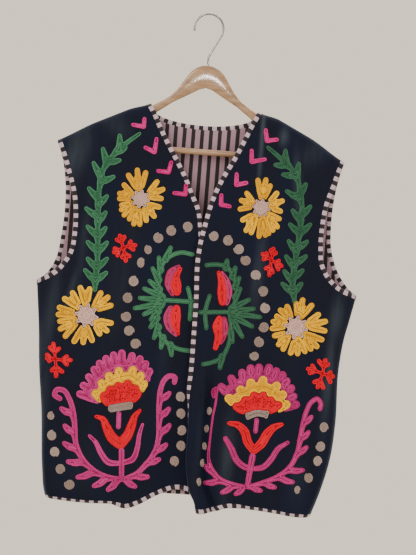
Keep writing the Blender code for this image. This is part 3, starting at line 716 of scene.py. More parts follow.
def feed(look, **shades):
    shader = look.node_tree.nodes["Principled BSDF"]
    for socket, shade in shades.items():
        look.node_tree.links.new(shade.socket, shader.inputs[socket.replace("_", " ")])


def noise(start, where, scale, detail=2.0, stretch=(1.0, 1.0, 1.0)):
    placed = start.node("Mapping", None, {"Vector": where, "Scale": stretch})
    return start.node("TexNoise", None, {"Vector": placed, "Scale": scale, "Detail": detail})


def placeOf(start):
    return start.node("TexCoord", out=3)


def flatOf(start):  # the piece's own flat coordinates, in metres
    flat = start.node("UVMap", {"uv_map": "flat"})
    return flat, *(start.node("SeparateXYZ", None, {0: flat}, out=k) for k in (0, 1))


velvetTones = {
    "deep": (0.0010, 0.0019, 0.0098),
    "crushed": (0.0029, 0.0050, 0.0180),
    # the lighter colour of the painted sheen streaks
    "sheenLight": (0.034, 0.045, 0.064),
    "pile": (0.008, 0.012, 0.025),
    "sheen": (0.22, 0.33, 0.60),
}


def velvetLook():
    fibre = {"Roughness": 0.82, "Sheen Weight": 0.30, "Sheen Roughness": 0.34, "Specular IOR Level": 0.14}
    look, start = newLook("darkVelvet", {**fibre, "Sheen Tint": (*velvetTones["sheen"], 1.0)})
    where = placeOf(start)
    crushed = noise(start, where, 14.0, 4.0, (1.6, 1.0, 0.6)).between(0.40, 0.66)
    pile = noise(start, where, 1100.0, 2.0)
    deep = crushed.mix(velvetTones["deep"], velvetTones["crushed"])
    # painted sheen: the streaks from the table lighten the colour as if the sheen caught the light there
    sheenMask = start.node("Attribute", {"attribute_name": "nap"}, out=2)
    sheenLight = (sheenMask * (0.55 + noise(start, where, 55.0, 3.0, (2.2, 1.0, 0.35)) * 0.9)).between(0.0, 1.1)
    soft = sheenLight.mix(deep, velvetTones["sheenLight"])
    colour = (pile.between(0.35, 0.7) * 0.35).mix(soft, velvetTones["pile"])
    height = pile * 0.0006 + noise(start, where, 60.0, 3.0, (1.0, 1.0, 0.5)) * 0.0010
    feed(look, Base_Color=colour, Roughness=0.74 + crushed * 0.14, Normal=height.bump(0.55))
    return look


stripes = {  # lining
    "period": 0.0157,
    "black": 0.43,
    "mauve": (0.285, 0.175, 0.225),
    "dark": (0.013, 0.009, 0.013),
    "fine": (0.40, 0.28, 0.335),
    "worn": (0.21, 0.125, 0.165),
}


def liningLook():
    cotton = {"Sheen Weight": 0.12, "Sheen Roughness": 0.5, "Specular IOR Level": 0.3}
    look, start = newLook("stripedLining", cotton)
    flat, x, z = flatOf(start)
    wobble = noise(start, flat, 9.0, 2.0) * 0.0016
    share = ((x + wobble) / stripes["period"]) % 1.0
    fine = (share * 11.0 % 1.0 < 0.22) * (1.0 - (share < stripes["black"] + 0.08)) * 0.55
    mauve = fine.mix(stripes["mauve"], stripes["fine"])
    worn = noise(start, flat, 30.0, 3.0).between(0.3, 0.75) * 0.35
    colour = (share < stripes["black"]).mix(worn.mix(mauve, stripes["worn"]), stripes["dark"])
    weave = (x * 2600.0).maths("SINE") * (z * 2600.0).maths("SINE")
    height = weave * 0.00012 + noise(start, flat, 45.0, 3.0) * 0.0016
    feed(look, Base_Color=colour, Roughness=0.78 + worn * 0.3, Normal=height.bump(0.5))
    return look


squares = {  # binding
    "period": 0.0159,
    "black": 0.50,
    "light": (0.42, 0.31, 0.385),
    "pale": (0.52, 0.41, 0.485),
    "worn": (0.40, 0.28, 0.37),
    "dark": (0.008, 0.005, 0.010),
}


def bindingLook():
    cotton = {"Sheen Weight": 0.15, "Sheen Roughness": 0.5, "Specular IOR Level": 0.3}
    look, start = newLook("stripedBinding", cotton)
    flat, u, v = flatOf(start)
    wobble = noise(start, flat, 22.0, 2.0) * 0.0030
    share = ((u + wobble) / squares["period"]) % 1.0
    fine = (share * 12.0 % 1.0 < 0.3) * 0.6
    light = fine.mix(squares["light"], squares["pale"])
    worn = noise(start, flat, 60.0, 3.0).between(0.35, 0.8) * 0.4
    colour = (share < squares["black"]).mix(worn.mix(light, squares["worn"]), squares["dark"])
    weave = (u * 3000.0).maths("SINE") * (v * 3000.0).maths("SINE")
    pucker = noise(start, flat, 170.0, 2.0, (1.0, 0.35, 1.0))
    height = weave * 0.00012 + pucker * 0.0009
    feed(look, Base_Color=colour, Roughness=0.74 + worn * 0.3, Normal=height.bump(0.6))
    return look


woodTones = {"dark": (0.206, 0.103, 0.046), "light": (0.330, 0.191, 0.100), "fleck": (0.19, 0.095, 0.045)}


def woodLook():
    look, start = newLook("varnishedBeech", {"Coat Roughness": 0.09, "Specular IOR Level": 0.45})
    where = placeOf(start)
    grain = noise(start, where, 26.0, 5.0, (0.55, 5.0, 5.0))
    flecks = noise(start, where, 240.0, 2.0, (0.16, 1.0, 1.0)).between(0.58, 0.72) * 0.5
    tone = grain.between(0.32, 0.70).mix(woodTones["dark"], woodTones["light"])
    knocks = noise(start, where, 70.0, 2.0).between(0.62, 0.78)
    colour = flecks.mix(tone, woodTones["fleck"])
    bump = (grain + knocks * -0.4).bump(0.25, 0.001)
    coat = 0.75 - knocks * 0.3
    feed(look, Base_Color=colour, Roughness=0.30 + grain * 0.18, Coat_Weight=coat, Normal=bump)
    return look


metalTones = {"bright": (0.24, 0.24, 0.25), "dull": (0.14, 0.14, 0.135)}


def chromeLook():
    look, start = newLook("platedWire", {"Specular IOR Level": 0.5})
    where = placeOf(start)
    dull = noise(start, where, 130.0, 4.0).between(0.45, 0.75)
    drawn = noise(start, where, 900.0, 2.0, (1.0, 1.0, 0.12))
    bump = drawn.bump(0.08, 0.0005)
    colour = (dull * 0.6).mix(metalTones["bright"], metalTones["dull"])
    feed(look, Base_Color=colour, Metallic=1.0 - dull * 0.1, Roughness=0.13 + dull * 0.16, Normal=bump)
    return look


looks = {
    "velvet": velvetLook(),
    "lining": liningLook(),
    "binding": bindingLook(),
    "wood": woodLook(),
    "chrome": chromeLook(),
}
print("materials made")

# The panels
cloth = {}
for side, name in ((-1, "rightFront"), (1, "leftFront")):
    cloth[side] = shell(name, side, frontFlat(side), "front", [looks["velvet"], looks["lining"]])
cloth[0] = shell("backVelvet", 0, backFlat(), "back", [looks["velvet"], looks["velvet"]])
backLining = shell("backLining", 0, backFlat(), "lining", [looks["lining"], looks["lining"]])
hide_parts("front_right")
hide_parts("front_left")
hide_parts("back")
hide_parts("back_lining")
print("panels draped")


def loft(rings, closed):  # faces and their flat coordinates for cross-sections in a row
    count, around = rings.shape[:2]
    middle = rings.mean(axis=1)
    ahead = np.roll(middle, -1, axis=0) if closed else middle[1:]
    along = np.concatenate([[0.0], np.cumsum(np.linalg.norm(ahead - middle[: len(ahead)], axis=1))])
    closedRing = np.concatenate([rings[:1], rings[:1, :1]], axis=1)[0]
    across = lengths(closedRing)
    i, j = np.meshgrid(np.arange(count if closed else count - 1), np.arange(around), indexing="ij")
    i, j = i.ravel(), j.ravel()
    nextI, nextJ = (i + 1) % count, (j + 1) % around
    ringA, ringB = i * around, nextI * around
    faces = np.stack([ringA + j, ringA + nextJ, ringB + nextJ, ringB + j], axis=1)
    uv = np.stack(
        [
            np.stack([along[i], along[i], along[i + 1], along[i + 1]], axis=1),
            np.stack([across[j], across[j + 1], across[j + 1], across[j]], axis=1),
        ],
        axis=-1,
    )
    flatRings = rings.reshape(-1, 3)
    a, b, c = (flatRings[faces[:, k]] for k in (0, 1, 3))
    outwards = (a + b) / 2 - middle[i]
    if np.einsum("ij,ij->i", np.cross(b - a, c - a), outwards).sum() < 0:
        faces, uv = faces[:, ::-1], uv[:, ::-1]
    return flatRings, faces, uv


def loftPiece(name, lofts, look, shades=None, extra=()):  # one mesh from many lofts, open ones capped
    points, faces, uvs, start = [], [], [], 0
    for rings, closed in lofts:
        flatRings, quads, uv = loft(rings, closed)
        points.append(flatRings)
        faces += (quads + start).tolist()
        uvs.append(uv.reshape(-1, 2))
        if not closed:
            around, last = rings.shape[1], len(flatRings) - rings.shape[1]
            first, end = list(range(around)), list(range(last, last + around))
            turned = quads[0, 1] != quads[0, 0] + 1
            for cap in (end if not turned else end[::-1], first[::-1] if not turned else first):
                faces.append([start + k for k in cap])
                uvs.append(np.zeros((around, 2)))
        start += len(flatRings)
    for more, moreFaces in extra:
        points.append(more)
        faces += [[start + k for k in face] for face in moreFaces]
        uvs += [more[list(face)][:, [0, 2]] for face in moreFaces]
        start += len(more)
    piece = meshPiece(name, np.concatenate(points), faces, [look], shades=shades)
    layer = piece.data.uv_layers.new(name="flat")
    layer.data.foreach_set("uv", np.concatenate(uvs).ravel())
    return piece


# Bindings: folded tapes round the raw edges
tape = {
    "section": [  # distance in from the edge, share of half its thickness
        (0.0081, 0.40), (0.0079, 0.78), (0.0072, 1.00), (0.0052, 1.05),
        (0.0031, 1.02), (0.0016, 0.90), (0.0006, 0.60), (0.0, 0.0),
    ],
    "edgeRings": 420,
    "armRings": 260,
    "neckRings": 140,
    "hemRings": 170,
    "backHemRings": 260,
    "startGap": 0.0033,  # between the front edge's tape and the hem's
}


def tapeRings(side, facing, lineAt):  # lineAt gives the tape's line at one distance from its edge
    flat = np.stack([lineAt(width) for width, _ in tape["section"]], axis=1)
    surface = surfaceOf(side)
    place, out = surface(flat), normalsOf(surface, flat, facing)
    half = np.array([share for _, share in tape["section"]])[None, :, None] * drape["tapeThick"] / 2
    behind = (place - out * half)[:, -2::-1]
    return np.concatenate([place + out * half, behind], axis=1)


def evenRings(side, facing, lineAt, count):
    shares = np.linspace(0, 1, count)
    return tapeRings(side, facing, lambda width: pick(lineAt(width), shares))


def edgeTape(side):
    hem = hemLine(side, 0.0)

    def lineAt(width):
        edge = edgeLine(side, width)
        low = shareAt(edge, crossing(hem, edge)[1]) if width else 0.0
        return pick(edge, np.linspace(low, 1.0, tape["edgeRings"]))

    return tapeRings(side, -1, lineAt), False


def armholeTape(side):
    up = evenRings(side, -1, lambda width: armholeLine(side, -1, width), tape["armRings"])
    down = evenRings(0, 1, lambda width: armholeLine(side, 1, width), tape["armRings"])
    return np.concatenate([up, down[-2:0:-1]]), True


def hemTape(side):
    limit = edgeLine(side, drape["tape"] + tape["startGap"])

    def lineAt(width):
        hem = hemLine(side, width)
        order = np.argsort(hem[:, 0])
        start = np.interp(crossing(hem, limit)[0], hem[order, 0], np.linspace(0, 1, len(hem))[order])
        return pick(hem, np.linspace(start, 1.0, tape["hemRings"]))

    return tapeRings(side, -1, lineAt), False


tapes = {
    "edgeTapeRight": (edgeTape(-1), "edge_binding_right"),
    "edgeTapeLeft": (edgeTape(1), "edge_binding_left"),
    "neckTape": ((evenRings(0, 1, backNeckLine, tape["neckRings"]), False), "neck_binding"),
    "armholeTapeRight": (armholeTape(-1), "armhole_binding_right"),
    "armholeTapeLeft": (armholeTape(1), "armhole_binding_left"),
    "hemTapeRight": (hemTape(-1), "hem_binding_right"),
    "hemTapeLeft": (hemTape(1), "hem_binding_left"),
    "hemTapeBack": ((evenRings(0, 1, backHemLine, tape["backHemRings"]), False), "hem_binding_back"),
}
for name, (strip, node) in tapes.items():
    loftPiece(name, [strip], looks["binding"])
    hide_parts(node)
print("bindings folded")


# Hanger: each body starts as a sphere whose rings become cross-sections from end to end
def roundBody(name, rings, segments, place, look):
    bpy.ops.object.select_all(action="DESELECT")
    bpy.ops.mesh.primitive_uv_sphere_add(segments=segments, ring_count=rings, radius=1.0)
    piece = bpy.context.active_object
    piece.name = piece.data.name = name
    where = np.array([v.co for v in piece.data.vertices])
    share = np.arccos(np.clip(where[:, 2], -1.0, 1.0)) / math.pi
    angle = np.arctan2(where[:, 1], where[:, 0])
    piece.data.vertices.foreach_set("co", place(share, angle).ravel())
    bpy.ops.object.mode_set(mode="EDIT")
    bpy.ops.mesh.select_all(action="SELECT")
    bpy.ops.mesh.normals_make_consistent(inside=False)
    bpy.ops.object.mode_set(mode="OBJECT")
    piece.data.shade_smooth()
    piece.data.materials.append(look)
    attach(piece, "root")
    return piece


def roundedShare(distance, radius):  # how full a section is near a rounded end
    return np.sqrt(np.clip(1.0 - (1.0 - np.clip(distance / radius, 0.0, 1.0)) ** 2, 0.0, 1.0))


arms = {
    "end": 0.2148,
    "thick": 0.0120,
    "stations": [(0.0, -0.2148), (0.06, -0.2065), (0.20, -0.1800), (0.36, -0.0600), (0.5, 0.0)],
    "top": [  # distance from the middle, height
        (0.0, -0.0890), (0.0075, -0.0893), (0.0110, -0.0903), (0.0200, -0.0945), (0.0290, -0.1020),
        (0.0390, -0.1165), (0.0490, -0.1325), (0.0620, -0.1475), (0.0780, -0.1582), (0.0940, -0.1676),
        (0.1500, -0.1949), (0.2068, -0.2226), (0.2120, -0.2262), (0.2148, -0.2330),
    ],
    "under": [
        (0.0, -0.1290), (0.0110, -0.1322), (0.0280, -0.1422), (0.0560, -0.1582), (0.0880, -0.1815),
        (0.1400, -0.2085), (0.1800, -0.2290), (0.1858, -0.2330), (0.1872, -0.2450), (0.1900, -0.2478),
        (0.2060, -0.2478), (0.2120, -0.2455), (0.2148, -0.2400),
    ],
    "round": 3.4,  # squareness of the sections
    "tipRound": 0.006,
}


def armPlace(share, angle):
    table = np.array(arms["stations"])
    mirrored = np.where(share > 0.5, 1.0 - share, share)
    x = np.interp(mirrored, table[:, 0], table[:, 1]) * np.where(share > 0.5, -1.0, 1.0)
    top, under = np.array(arms["top"]), np.array(arms["under"])
    high = np.interp(np.abs(x), top[:, 0], top[:, 1])
    low = np.interp(np.abs(x), under[:, 0], under[:, 1])
    full = roundedShare(arms["end"] - np.abs(x), arms["tipRound"])
    square = 2.0 / arms["round"]
    y = np.sign(np.cos(angle)) * np.abs(np.cos(angle)) ** square * arms["thick"] / 2
    z = np.sign(np.sin(angle)) * np.abs(np.sin(angle)) ** square * (high - low) / 2
    return np.stack([x + drape["centreX"], y * full, (high + low) / 2 + z * full], axis=-1)


yoke = roundBody("woodenArms", 260, 36, armPlace, looks["wood"])
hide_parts("hanger_yoke")

bar = {"half": 0.1857, "radius": 0.0053, "z": -0.2415, "round": 0.0010}


def barPlace(share, angle):
    x = (2.0 * share - 1.0) * bar["half"]
    radius = bar["radius"] * roundedShare(bar["half"] - np.abs(x), bar["round"])
    z = bar["z"] + radius * np.sin(angle)
    return np.stack([x + drape["centreX"], radius * np.cos(angle), z], axis=-1)


trouserBar = roundBody("trouserBar", 60, 28, barPlace, looks["wood"])
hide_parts("hanger_bar")

wire = {
    "radius": 0.0019,
    "hookRadius": 0.0255,
    "tipDegrees": 195.0,
    "leaveDegrees": -27.0,
    "bend": 0.012,
    "foot": -0.0887,
}


def wirePath():
    leave = -math.radians(wire["leaveDegrees"])
    path = []
    for degrees in np.linspace(wire["tipDegrees"], wire["leaveDegrees"], 90):
        angle = math.radians(degrees)
        z = wire["radius"] - wire["hookRadius"] + wire["hookRadius"] * math.sin(angle)
        path.append((wire["hookRadius"] * math.cos(angle), z))
    x, z = path[-1]
    across = x - drape["centreX"] - wire["bend"] * (1.0 - math.cos(leave))
    path += [(x - across * s, z - across / math.tan(leave) * s) for s in np.linspace(0, 1, 14)[1:]]
    x, z = path[-1]
    for left in np.linspace(leave, 0, 14)[1:]:
        sideways = wire["bend"] * (math.cos(left) - math.cos(leave))
        path.append((x - sideways, z - wire["bend"] * (math.sin(leave) - math.sin(left))))
    return np.array(path + [(drape["centreX"], wire["foot"])])


def wirePlace(share, angle):
    path = wirePath()
    run = lengths(path)
    at = share * run[-1]
    x, z = pointsAt(at, run, path).T
    tiny = 0.0008
    aheadX, aheadZ = (pointsAt(at + tiny, run, path) - pointsAt(at - tiny, run, path)).T
    size = np.hypot(aheadX, aheadZ)
    radius = wire["radius"] * roundedShare(at, wire["radius"])
    offset = radius * np.cos(angle)
    x, z = x - aheadZ / size * offset, z + aheadX / size * offset
    return np.stack([x, radius * np.sin(angle), z], axis=-1)


hook = roundBody("wireHook", 220, 16, wirePlace, looks["chrome"])
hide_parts("hanger_hook")
print("hanger made")


# Embroidery: rows of chain stitch. Its drawings are laid out in pixels of the 416 x 555 picture,
# stroke by stroke, and each row is then carried from the camera onto the velvet.
thread = {
    "pitch": 1.22,  # pixels between rows
    "firstRow": 0.60,
    "step": 1.05,  # pixels between a thread's cross-sections
    "grid": 0.34,
    "halfWide": 0.00120,
    "halfHigh": 0.00080,
    "lift": 0.00030,
    "sides": 6,
    "padTop": 0.00055,  # the underlay that fills between rows
    "padFoot": -0.0002,
    "padInset": 0.50,
    "padEvery": 3,  # cells of the grid to one face of a pad
    "swell": 0.10,
    "swellMost": 1.5,
    "margin": 2.5,  # pixels of free grid round a motif
}
rng = np.random.default_rng(7)
outer = {}
for side in (-1, 1):
    mesh = cloth[side].data
    corners = [tuple(f.vertices) for f in mesh.polygons if f.material_index == 0]
    outer[side] = BVHTree.FromPolygons([v.co.copy() for v in mesh.vertices], corners)


def onVelvet(side, pixel):  # place and normal where a pixel's ray meets a front
    right = cameraRight * ((pixel[0] - view["width"] / 2) * view["pixelSize"])
    up = cameraUp * ((view["height"] / 2 - pixel[1]) * view["pixelSize"])
    ray = (Vector((0.0, view["distance"], 0.0)) + right + up).normalized()
    place, normal, _, _ = outer[side].ray_cast(cameraAt, ray)
    return place, normal


def smoothStroke(points, widths, step=0.4):  # a smooth path with its half widths
    points = np.asarray(points, float)
    widths = np.asarray(widths, float)
    if widths.ndim == 0:
        widths = np.broadcast_to(widths, len(points))
    if len(widths) != len(points):
        widths = np.interp(np.linspace(0, 1, len(points)), np.linspace(0, 1, len(widths)), widths)
    run = lengths(points)
    at = np.linspace(0, run[-1], max(int(run[-1] / step), 2) + 1)
    if len(points) > 2:
        path = np.stack([curveAt(at, run, points[:, k]) for k in range(2)], axis=1)
    else:
        path = pointsAt(at, run, points)
    return path, np.interp(at, run, widths) / 2


def fieldOf(strokes, low, shape):  # distance to the nearest stroke's outline, less than 0 inside
    field = np.full(shape, 9.0)
    size = thread["grid"]
    for path, half in strokes:
        reach = half.max() + 2.0
        first = np.maximum(((path.min(axis=0) - reach - low) / size).astype(int), 0)
        last = ((path.max(axis=0) + reach - low) / size).astype(int) + 2
        rows = low[1] + np.arange(first[1], min(last[1], shape[0])) * size
        columns = low[0] + np.arange(first[0], min(last[0], shape[1])) * size
        if not len(rows) or not len(columns):
            continue
        x, y = np.meshgrid(columns, rows)
        gap = np.hypot(x[..., None] - path[:, 0], y[..., None] - path[:, 1]) - half
        part = field[first[1] : first[1] + len(rows), first[0] : first[0] + len(columns)]
        np.minimum(part, gap.min(axis=-1), out=part)
    return field


def crossings():  # for each cell's corners inside: the sides that a row enters and leaves by
    corners = {1: (0, 0), 2: (1, 0), 4: (1, 1), 8: (0, 1)}
    sides = [(1, 2, (0.5, 0)), (2, 4, (1, 0.5)), (4, 8, (0.5, 1)), (8, 1, (0, 0.5))]
    table = {}
    for case in range(1, 15):
        groups = {5: [[1], [4]], 10: [[2], [8]]}.get(case, [[c for c in corners if case & c]])
        table[case] = []
        for group in groups:
            cut = [k for k, (a, b, _) in enumerate(sides) if (a in group) != (b in group)]
            (ax, ay), (bx, by) = sides[cut[0]][2], sides[cut[1]][2]
            inX, inY = np.mean([corners[c] for c in group], axis=0)
            turn = (bx - ax) * (inY - ay) - (by - ay) * (inX - ax)
            table[case].append(tuple(cut) if turn > 0 else (cut[1], cut[0]))
    return table


cellTable = crossings()


def rowLoops(field, level):  # closed rows along one level of a field, in grid units
    inside = field < level
    case = inside[:-1, :-1] + 2 * inside[:-1, 1:] + 4 * inside[1:, 1:] + 8 * inside[1:, :-1]
    follow = {}
    for i, j in zip(*np.nonzero((case > 0) & (case < 15))):
        ids = ((0, i, j), (1, i, j + 1), (0, i + 1, j), (1, i, j))
        for enter, leave in cellTable[int(case[i, j])]:
            follow[ids[enter]] = ids[leave]
    loops = []
    while follow:
        start, at = follow.popitem()
        loop = [start]
        while at != start and at in follow:
            loop.append(at)
            at = follow.pop(at)
        if at != start or len(loop) < 5:
            continue
        way, i, j = np.array(loop).T
        a, b = field[i, j], field[i + (way == 1), j + (way == 0)]
        share = (level - a) / (b - a)
        loops.append(np.stack([j + share * (way == 0), i + share * (way == 1)], axis=1))
    return loops


def evenLoop(loop, step):
    closed = np.vstack([loop, loop[:1]])
    run = lengths(closed)
    count = max(int(run[-1] / step), 5)
    points = pointsAt(np.linspace(0, run[-1], count + 1)[:-1], run, closed)
    return (np.roll(points, 1, axis=0) + 2.0 * points + np.roll(points, -1, axis=0)) / 4.0


def threadRings(side, points, closed):  # cross-sections of a thread along picture points
    hits = [onVelvet(side, p) for p in points]
    if any(place is None for place, _ in hits):
        hits = [h for h in hits if h[0] is not None]
        closed = False
    if len(hits) < 4:
        return None
    place = np.array([p for p, _ in hits])
    out = np.array([n for _, n in hits])
    ahead = np.roll(place, -1, axis=0) - np.roll(place, 1, axis=0) if closed else np.gradient(place, axis=0)
    ahead /= np.maximum(np.linalg.norm(ahead, axis=1, keepdims=True), 1e-9)
    across = np.cross(ahead, out)
    across /= np.maximum(np.linalg.norm(across, axis=1, keepdims=True), 1e-9)
    angle = np.arange(thread["sides"]) * 2 * math.pi / thread["sides"]
    uneven = rng.standard_normal(len(place)).clip(-thread["swellMost"], thread["swellMost"])
    swell = 1.0 + thread["swell"] * uneven
    wide = across[:, None] * (np.cos(angle)[None, :, None] * (thread["halfWide"] * swell)[:, None, None])
    high = out[:, None] * (np.sin(angle)[None, :, None] * thread["halfHigh"] + thread["lift"])
    return place[:, None] + wide + high


sewn = {}  # colour: list of (rings, closed, shade)
pads = {}  # colour: list of (points, faces)


def sewRings(colour, rings, closed):
    if rings is not None:
        sewn.setdefault(colour, []).append((rings, closed, rng.uniform(0.0, 1.0)))


def underlay(colour, side, field, low):  # a thin pad under the rows
    every = thread["padEvery"]
    coarse = field[::every, ::every]
    inside = coarse < -thread["padInset"]
    cells = np.argwhere(inside[:-1, :-1] & inside[1:, :-1] & inside[:-1, 1:] & inside[1:, 1:])
    corner, places, quads = {}, [], []
    for i, j in cells:
        quad = []
        for key in ((i, j), (i, j + 1), (i + 1, j + 1), (i + 1, j)):
            if key not in corner:
                pixel = low + np.array([key[1], key[0]]) * every * thread["grid"]
                corner[key] = len(places)
                places.append(onVelvet(side, pixel))
            quad.append(corner[key])
        if all(places[k][0] is not None for k in quad):
            quads.append(quad)
    if not quads:
        return
    used = sorted({k for quad in quads for k in quad})
    number = {k: n for n, k in enumerate(used)}
    top, foot = ([places[k][0] + places[k][1] * thread[at] for k in used] for at in ("padTop", "padFoot"))
    faces, edges = [], {}
    for quad in quads:
        a, b, c, d = (number[k] for k in quad)
        faces.append((d, c, b, a))
        faces.append(tuple(k + len(used) for k in (a, b, c, d)))
        for edge in ((a, b), (b, c), (c, d), (d, a)):
            edges[edge] = edges.get(edge, 0) + 1
    for a, b in edges:
        if (b, a) not in edges:
            faces.append((a, b, b + len(used), a + len(used)))
    pads.setdefault(colour, []).append((np.array(top + foot), faces))


def fill(colour, side, strokes, cut=(), gap=0.0):  # rows of stitch over the strokes, outside the cut
    strokes = [smoothStroke(*s) for s in strokes]
    low = np.min([path.min(axis=0) - half.max() for path, half in strokes], axis=0) - thread["margin"]
    high = np.max([path.max(axis=0) + half.max() for path, half in strokes], axis=0) + thread["margin"]
    shape = tuple(((high - low)[::-1] / thread["grid"]).astype(int) + 2)
    field = fieldOf(strokes, low, shape)
    if cut:
        field = np.maximum(field, gap - fieldOf([smoothStroke(*s) for s in cut], low, shape))
    underlay(colour, side, field, low)
    level = -thread["firstRow"]
    while level > field.min():
        for loop in rowLoops(field, level):
            row = evenLoop(loop * thread["grid"] + low, thread["step"])
            sewRings(colour, threadRings(side, row, True), True)
        level -= thread["pitch"]


spiral = {"inset": 0.45, "core": 0.03, "first": 0.01}  # shares of its radius and of its length


def disc(side, centre, wide, high):  # a spiral of stitches
    turns = max(wide, high) / 2.0 / thread["pitch"]
    count = max(int(2 * math.pi * turns * turns * thread["pitch"] / 2.0 / thread["step"]) + 6, 10)
    share = np.sqrt(np.linspace(spiral["first"], 1.0, count))
    angle = share * turns * 2 * math.pi + centre[0]
    radius = (share - spiral["inset"] / turns).clip(spiral["core"])
    x = centre[0] + radius * wide / 2 * np.cos(angle)
    y = centre[1] + radius * high / 2 * np.sin(angle)
    sewRings("disc", threadRings(side, np.stack([x, y], axis=1), False), False)


def blend(a, b, shares):
    return a * shares[0] + b * shares[1]


def leafRoots(dense, tip, leaf):  # points of a spine: nearest to a leaf's tip, its foot and its join
    nearest = leaf["curl"] + int(np.argmin(np.linalg.norm(dense[leaf["curl"] :] - tip, axis=1)))
    return [dense[min(nearest + ahead, len(dense) - 1)] for ahead in (0, leaf["foot"], leaf["join"])]


chevron = {
    "spine": [3.4] + [5.0] * 10 + [4.4],
    "widths": [4.6, 8.6, 7.2, 4.6 * 0.92],
    "curl": 0,  # the spine's first samples, which carry no leaf; samples are 0.4 pixels apart
    "foot": 38,
    "join": 20,
    "turn": (0.86, 0.14),  # shares of the join and of the tip
    "middle": (0.62, 0.38),
    "sag": 0.8,
}


def chevrons(colour, side, spine, leftTips, rightTips):
    path = np.array(spine, float)
    dense, _ = smoothStroke(path, 1.0)
    strokes = [(path, chevron["spine"])]
    for tips in (leftTips, rightTips):
        for tip in np.array(tips, float):
            _, foot, join = leafRoots(dense, tip, chevron)
            middle = blend(join, tip, chevron["middle"]) + (0.0, chevron["sag"])
            turn = blend(join, tip, chevron["turn"])
            strokes.append(([foot, turn, middle, tip], chevron["widths"]))
    fill(colour, side, strokes)


lobe = {
    "stem": 3.0,  # width in pixels
    "reach": 0.52,  # how far a stem goes towards its cluster
    "tip": 1.9,  # pixels that a stroke stops short, for its round end
    "middle": (0.5, 0.5),
    "widths": [4.2, 4.6, 4.4],
}


def sprig(side, centre, clusters):  # four clusters of three small lobes on short stems
    centre, strokes = np.array(centre), []
    for cluster in np.array(clusters):
        base = centre + (cluster.mean(axis=0) - centre) * lobe["reach"]
        strokes.append(((centre, base), lobe["stem"]))
        for tip in cluster:
            tip = tip - (tip - base) * (lobe["tip"] / np.linalg.norm(tip - base))
            strokes.append(((base, blend(base, tip, lobe["middle"]), tip), lobe["widths"]))
    fill("red", side, strokes)


rays = {  # of a daisy's heart
    "count": 8,
    "turn": 0.2,
    "hub": 1.36,  # width of the round middle over the heart's radius
    "tip": 0.9,
    "middle": (0.45, 0.55),
    "widths": [5.4, 5.0, 2.4],
}


def star(centre, radius):
    strokes = [((centre, (centre[0] + 0.1, centre[1])), radius * rays["hub"])]
    for k in range(rays["count"]):
        angle = rays["turn"] + 2 * math.pi * k / rays["count"]
        reach = radius - rays["tip"]
        tip = (centre[0] + math.cos(angle) * reach, centre[1] + math.sin(angle) * reach)
        middle = [blend(c, t, rays["middle"]) for c, t in zip(centre, tip)]
        strokes.append(((centre, middle, tip), rays["widths"]))
    return strokes


petal = {
    "foot": 0.62,  # share of the heart's radius
    "tip": 0.42,  # shares of a lobe's width
    "widths": (0.70, 0.95, 0.84),
    "web": 0.62,  # how far the lobes of a petal are joined
    "webWidths": (0.8, 1.25),
    "gap": 0.35,  # pixels left free round the heart
}


def daisy(side, centre, petals, lobeWidth, starRadius):
    heart = star(centre, starRadius)
    fill("star", side, heart)
    for lobes in petals:
        strokes = []
        middle = np.mean(lobes, axis=0)
        away = middle - centre
        foot = np.array(centre) + away * (starRadius * petal["foot"] / np.linalg.norm(away))
        for end in lobes:
            way = np.array(end, float) - foot
            tip = foot + way * (1.0 - lobeWidth * petal["tip"] / np.linalg.norm(way))
            widths = [lobeWidth * share for share in petal["widths"]]
            strokes.append(([foot, foot + (tip - foot) * 0.5, tip], widths))
        inner = foot + (middle - foot) * petal["web"]
        strokes.append(([foot, inner], [lobeWidth * share for share in petal["webWidths"]]))
        fill("yellow", side, strokes, heart, petal["gap"])


hearts = {  # pink v shapes beside the neck
    -1: [
        [(132.9, 124.7), (143.8, 126.7), (144.5, 118.7)], [(145.2, 147.5), (154.5, 152.1), (156.6, 138.7)],
        [(157.9, 170.9), (168.6, 172.2), (171.3, 162.2)], [(174.0, 193.0), (185.4, 194.3), (186.0, 185.0)],
    ],
    1: [
        [(265.7, 130.0), (267.0, 140.8), (277.2, 139.6)], [(251.7, 150.4), (251.7, 161.9), (265.0, 159.3)],
        [(236.7, 174.0), (236.4, 184.8), (246.6, 182.9)], [(221.4, 195.0), (221.0, 204.6), (230.0, 206.5)],
    ],
}
heartWidths = [3.9, 4.6]
for side, shapes in hearts.items():
    for tip, corner, end in shapes:
        fill("pinkBright", side, [((tip, corner), heartWidths), ((corner, end), heartWidths[::-1])])

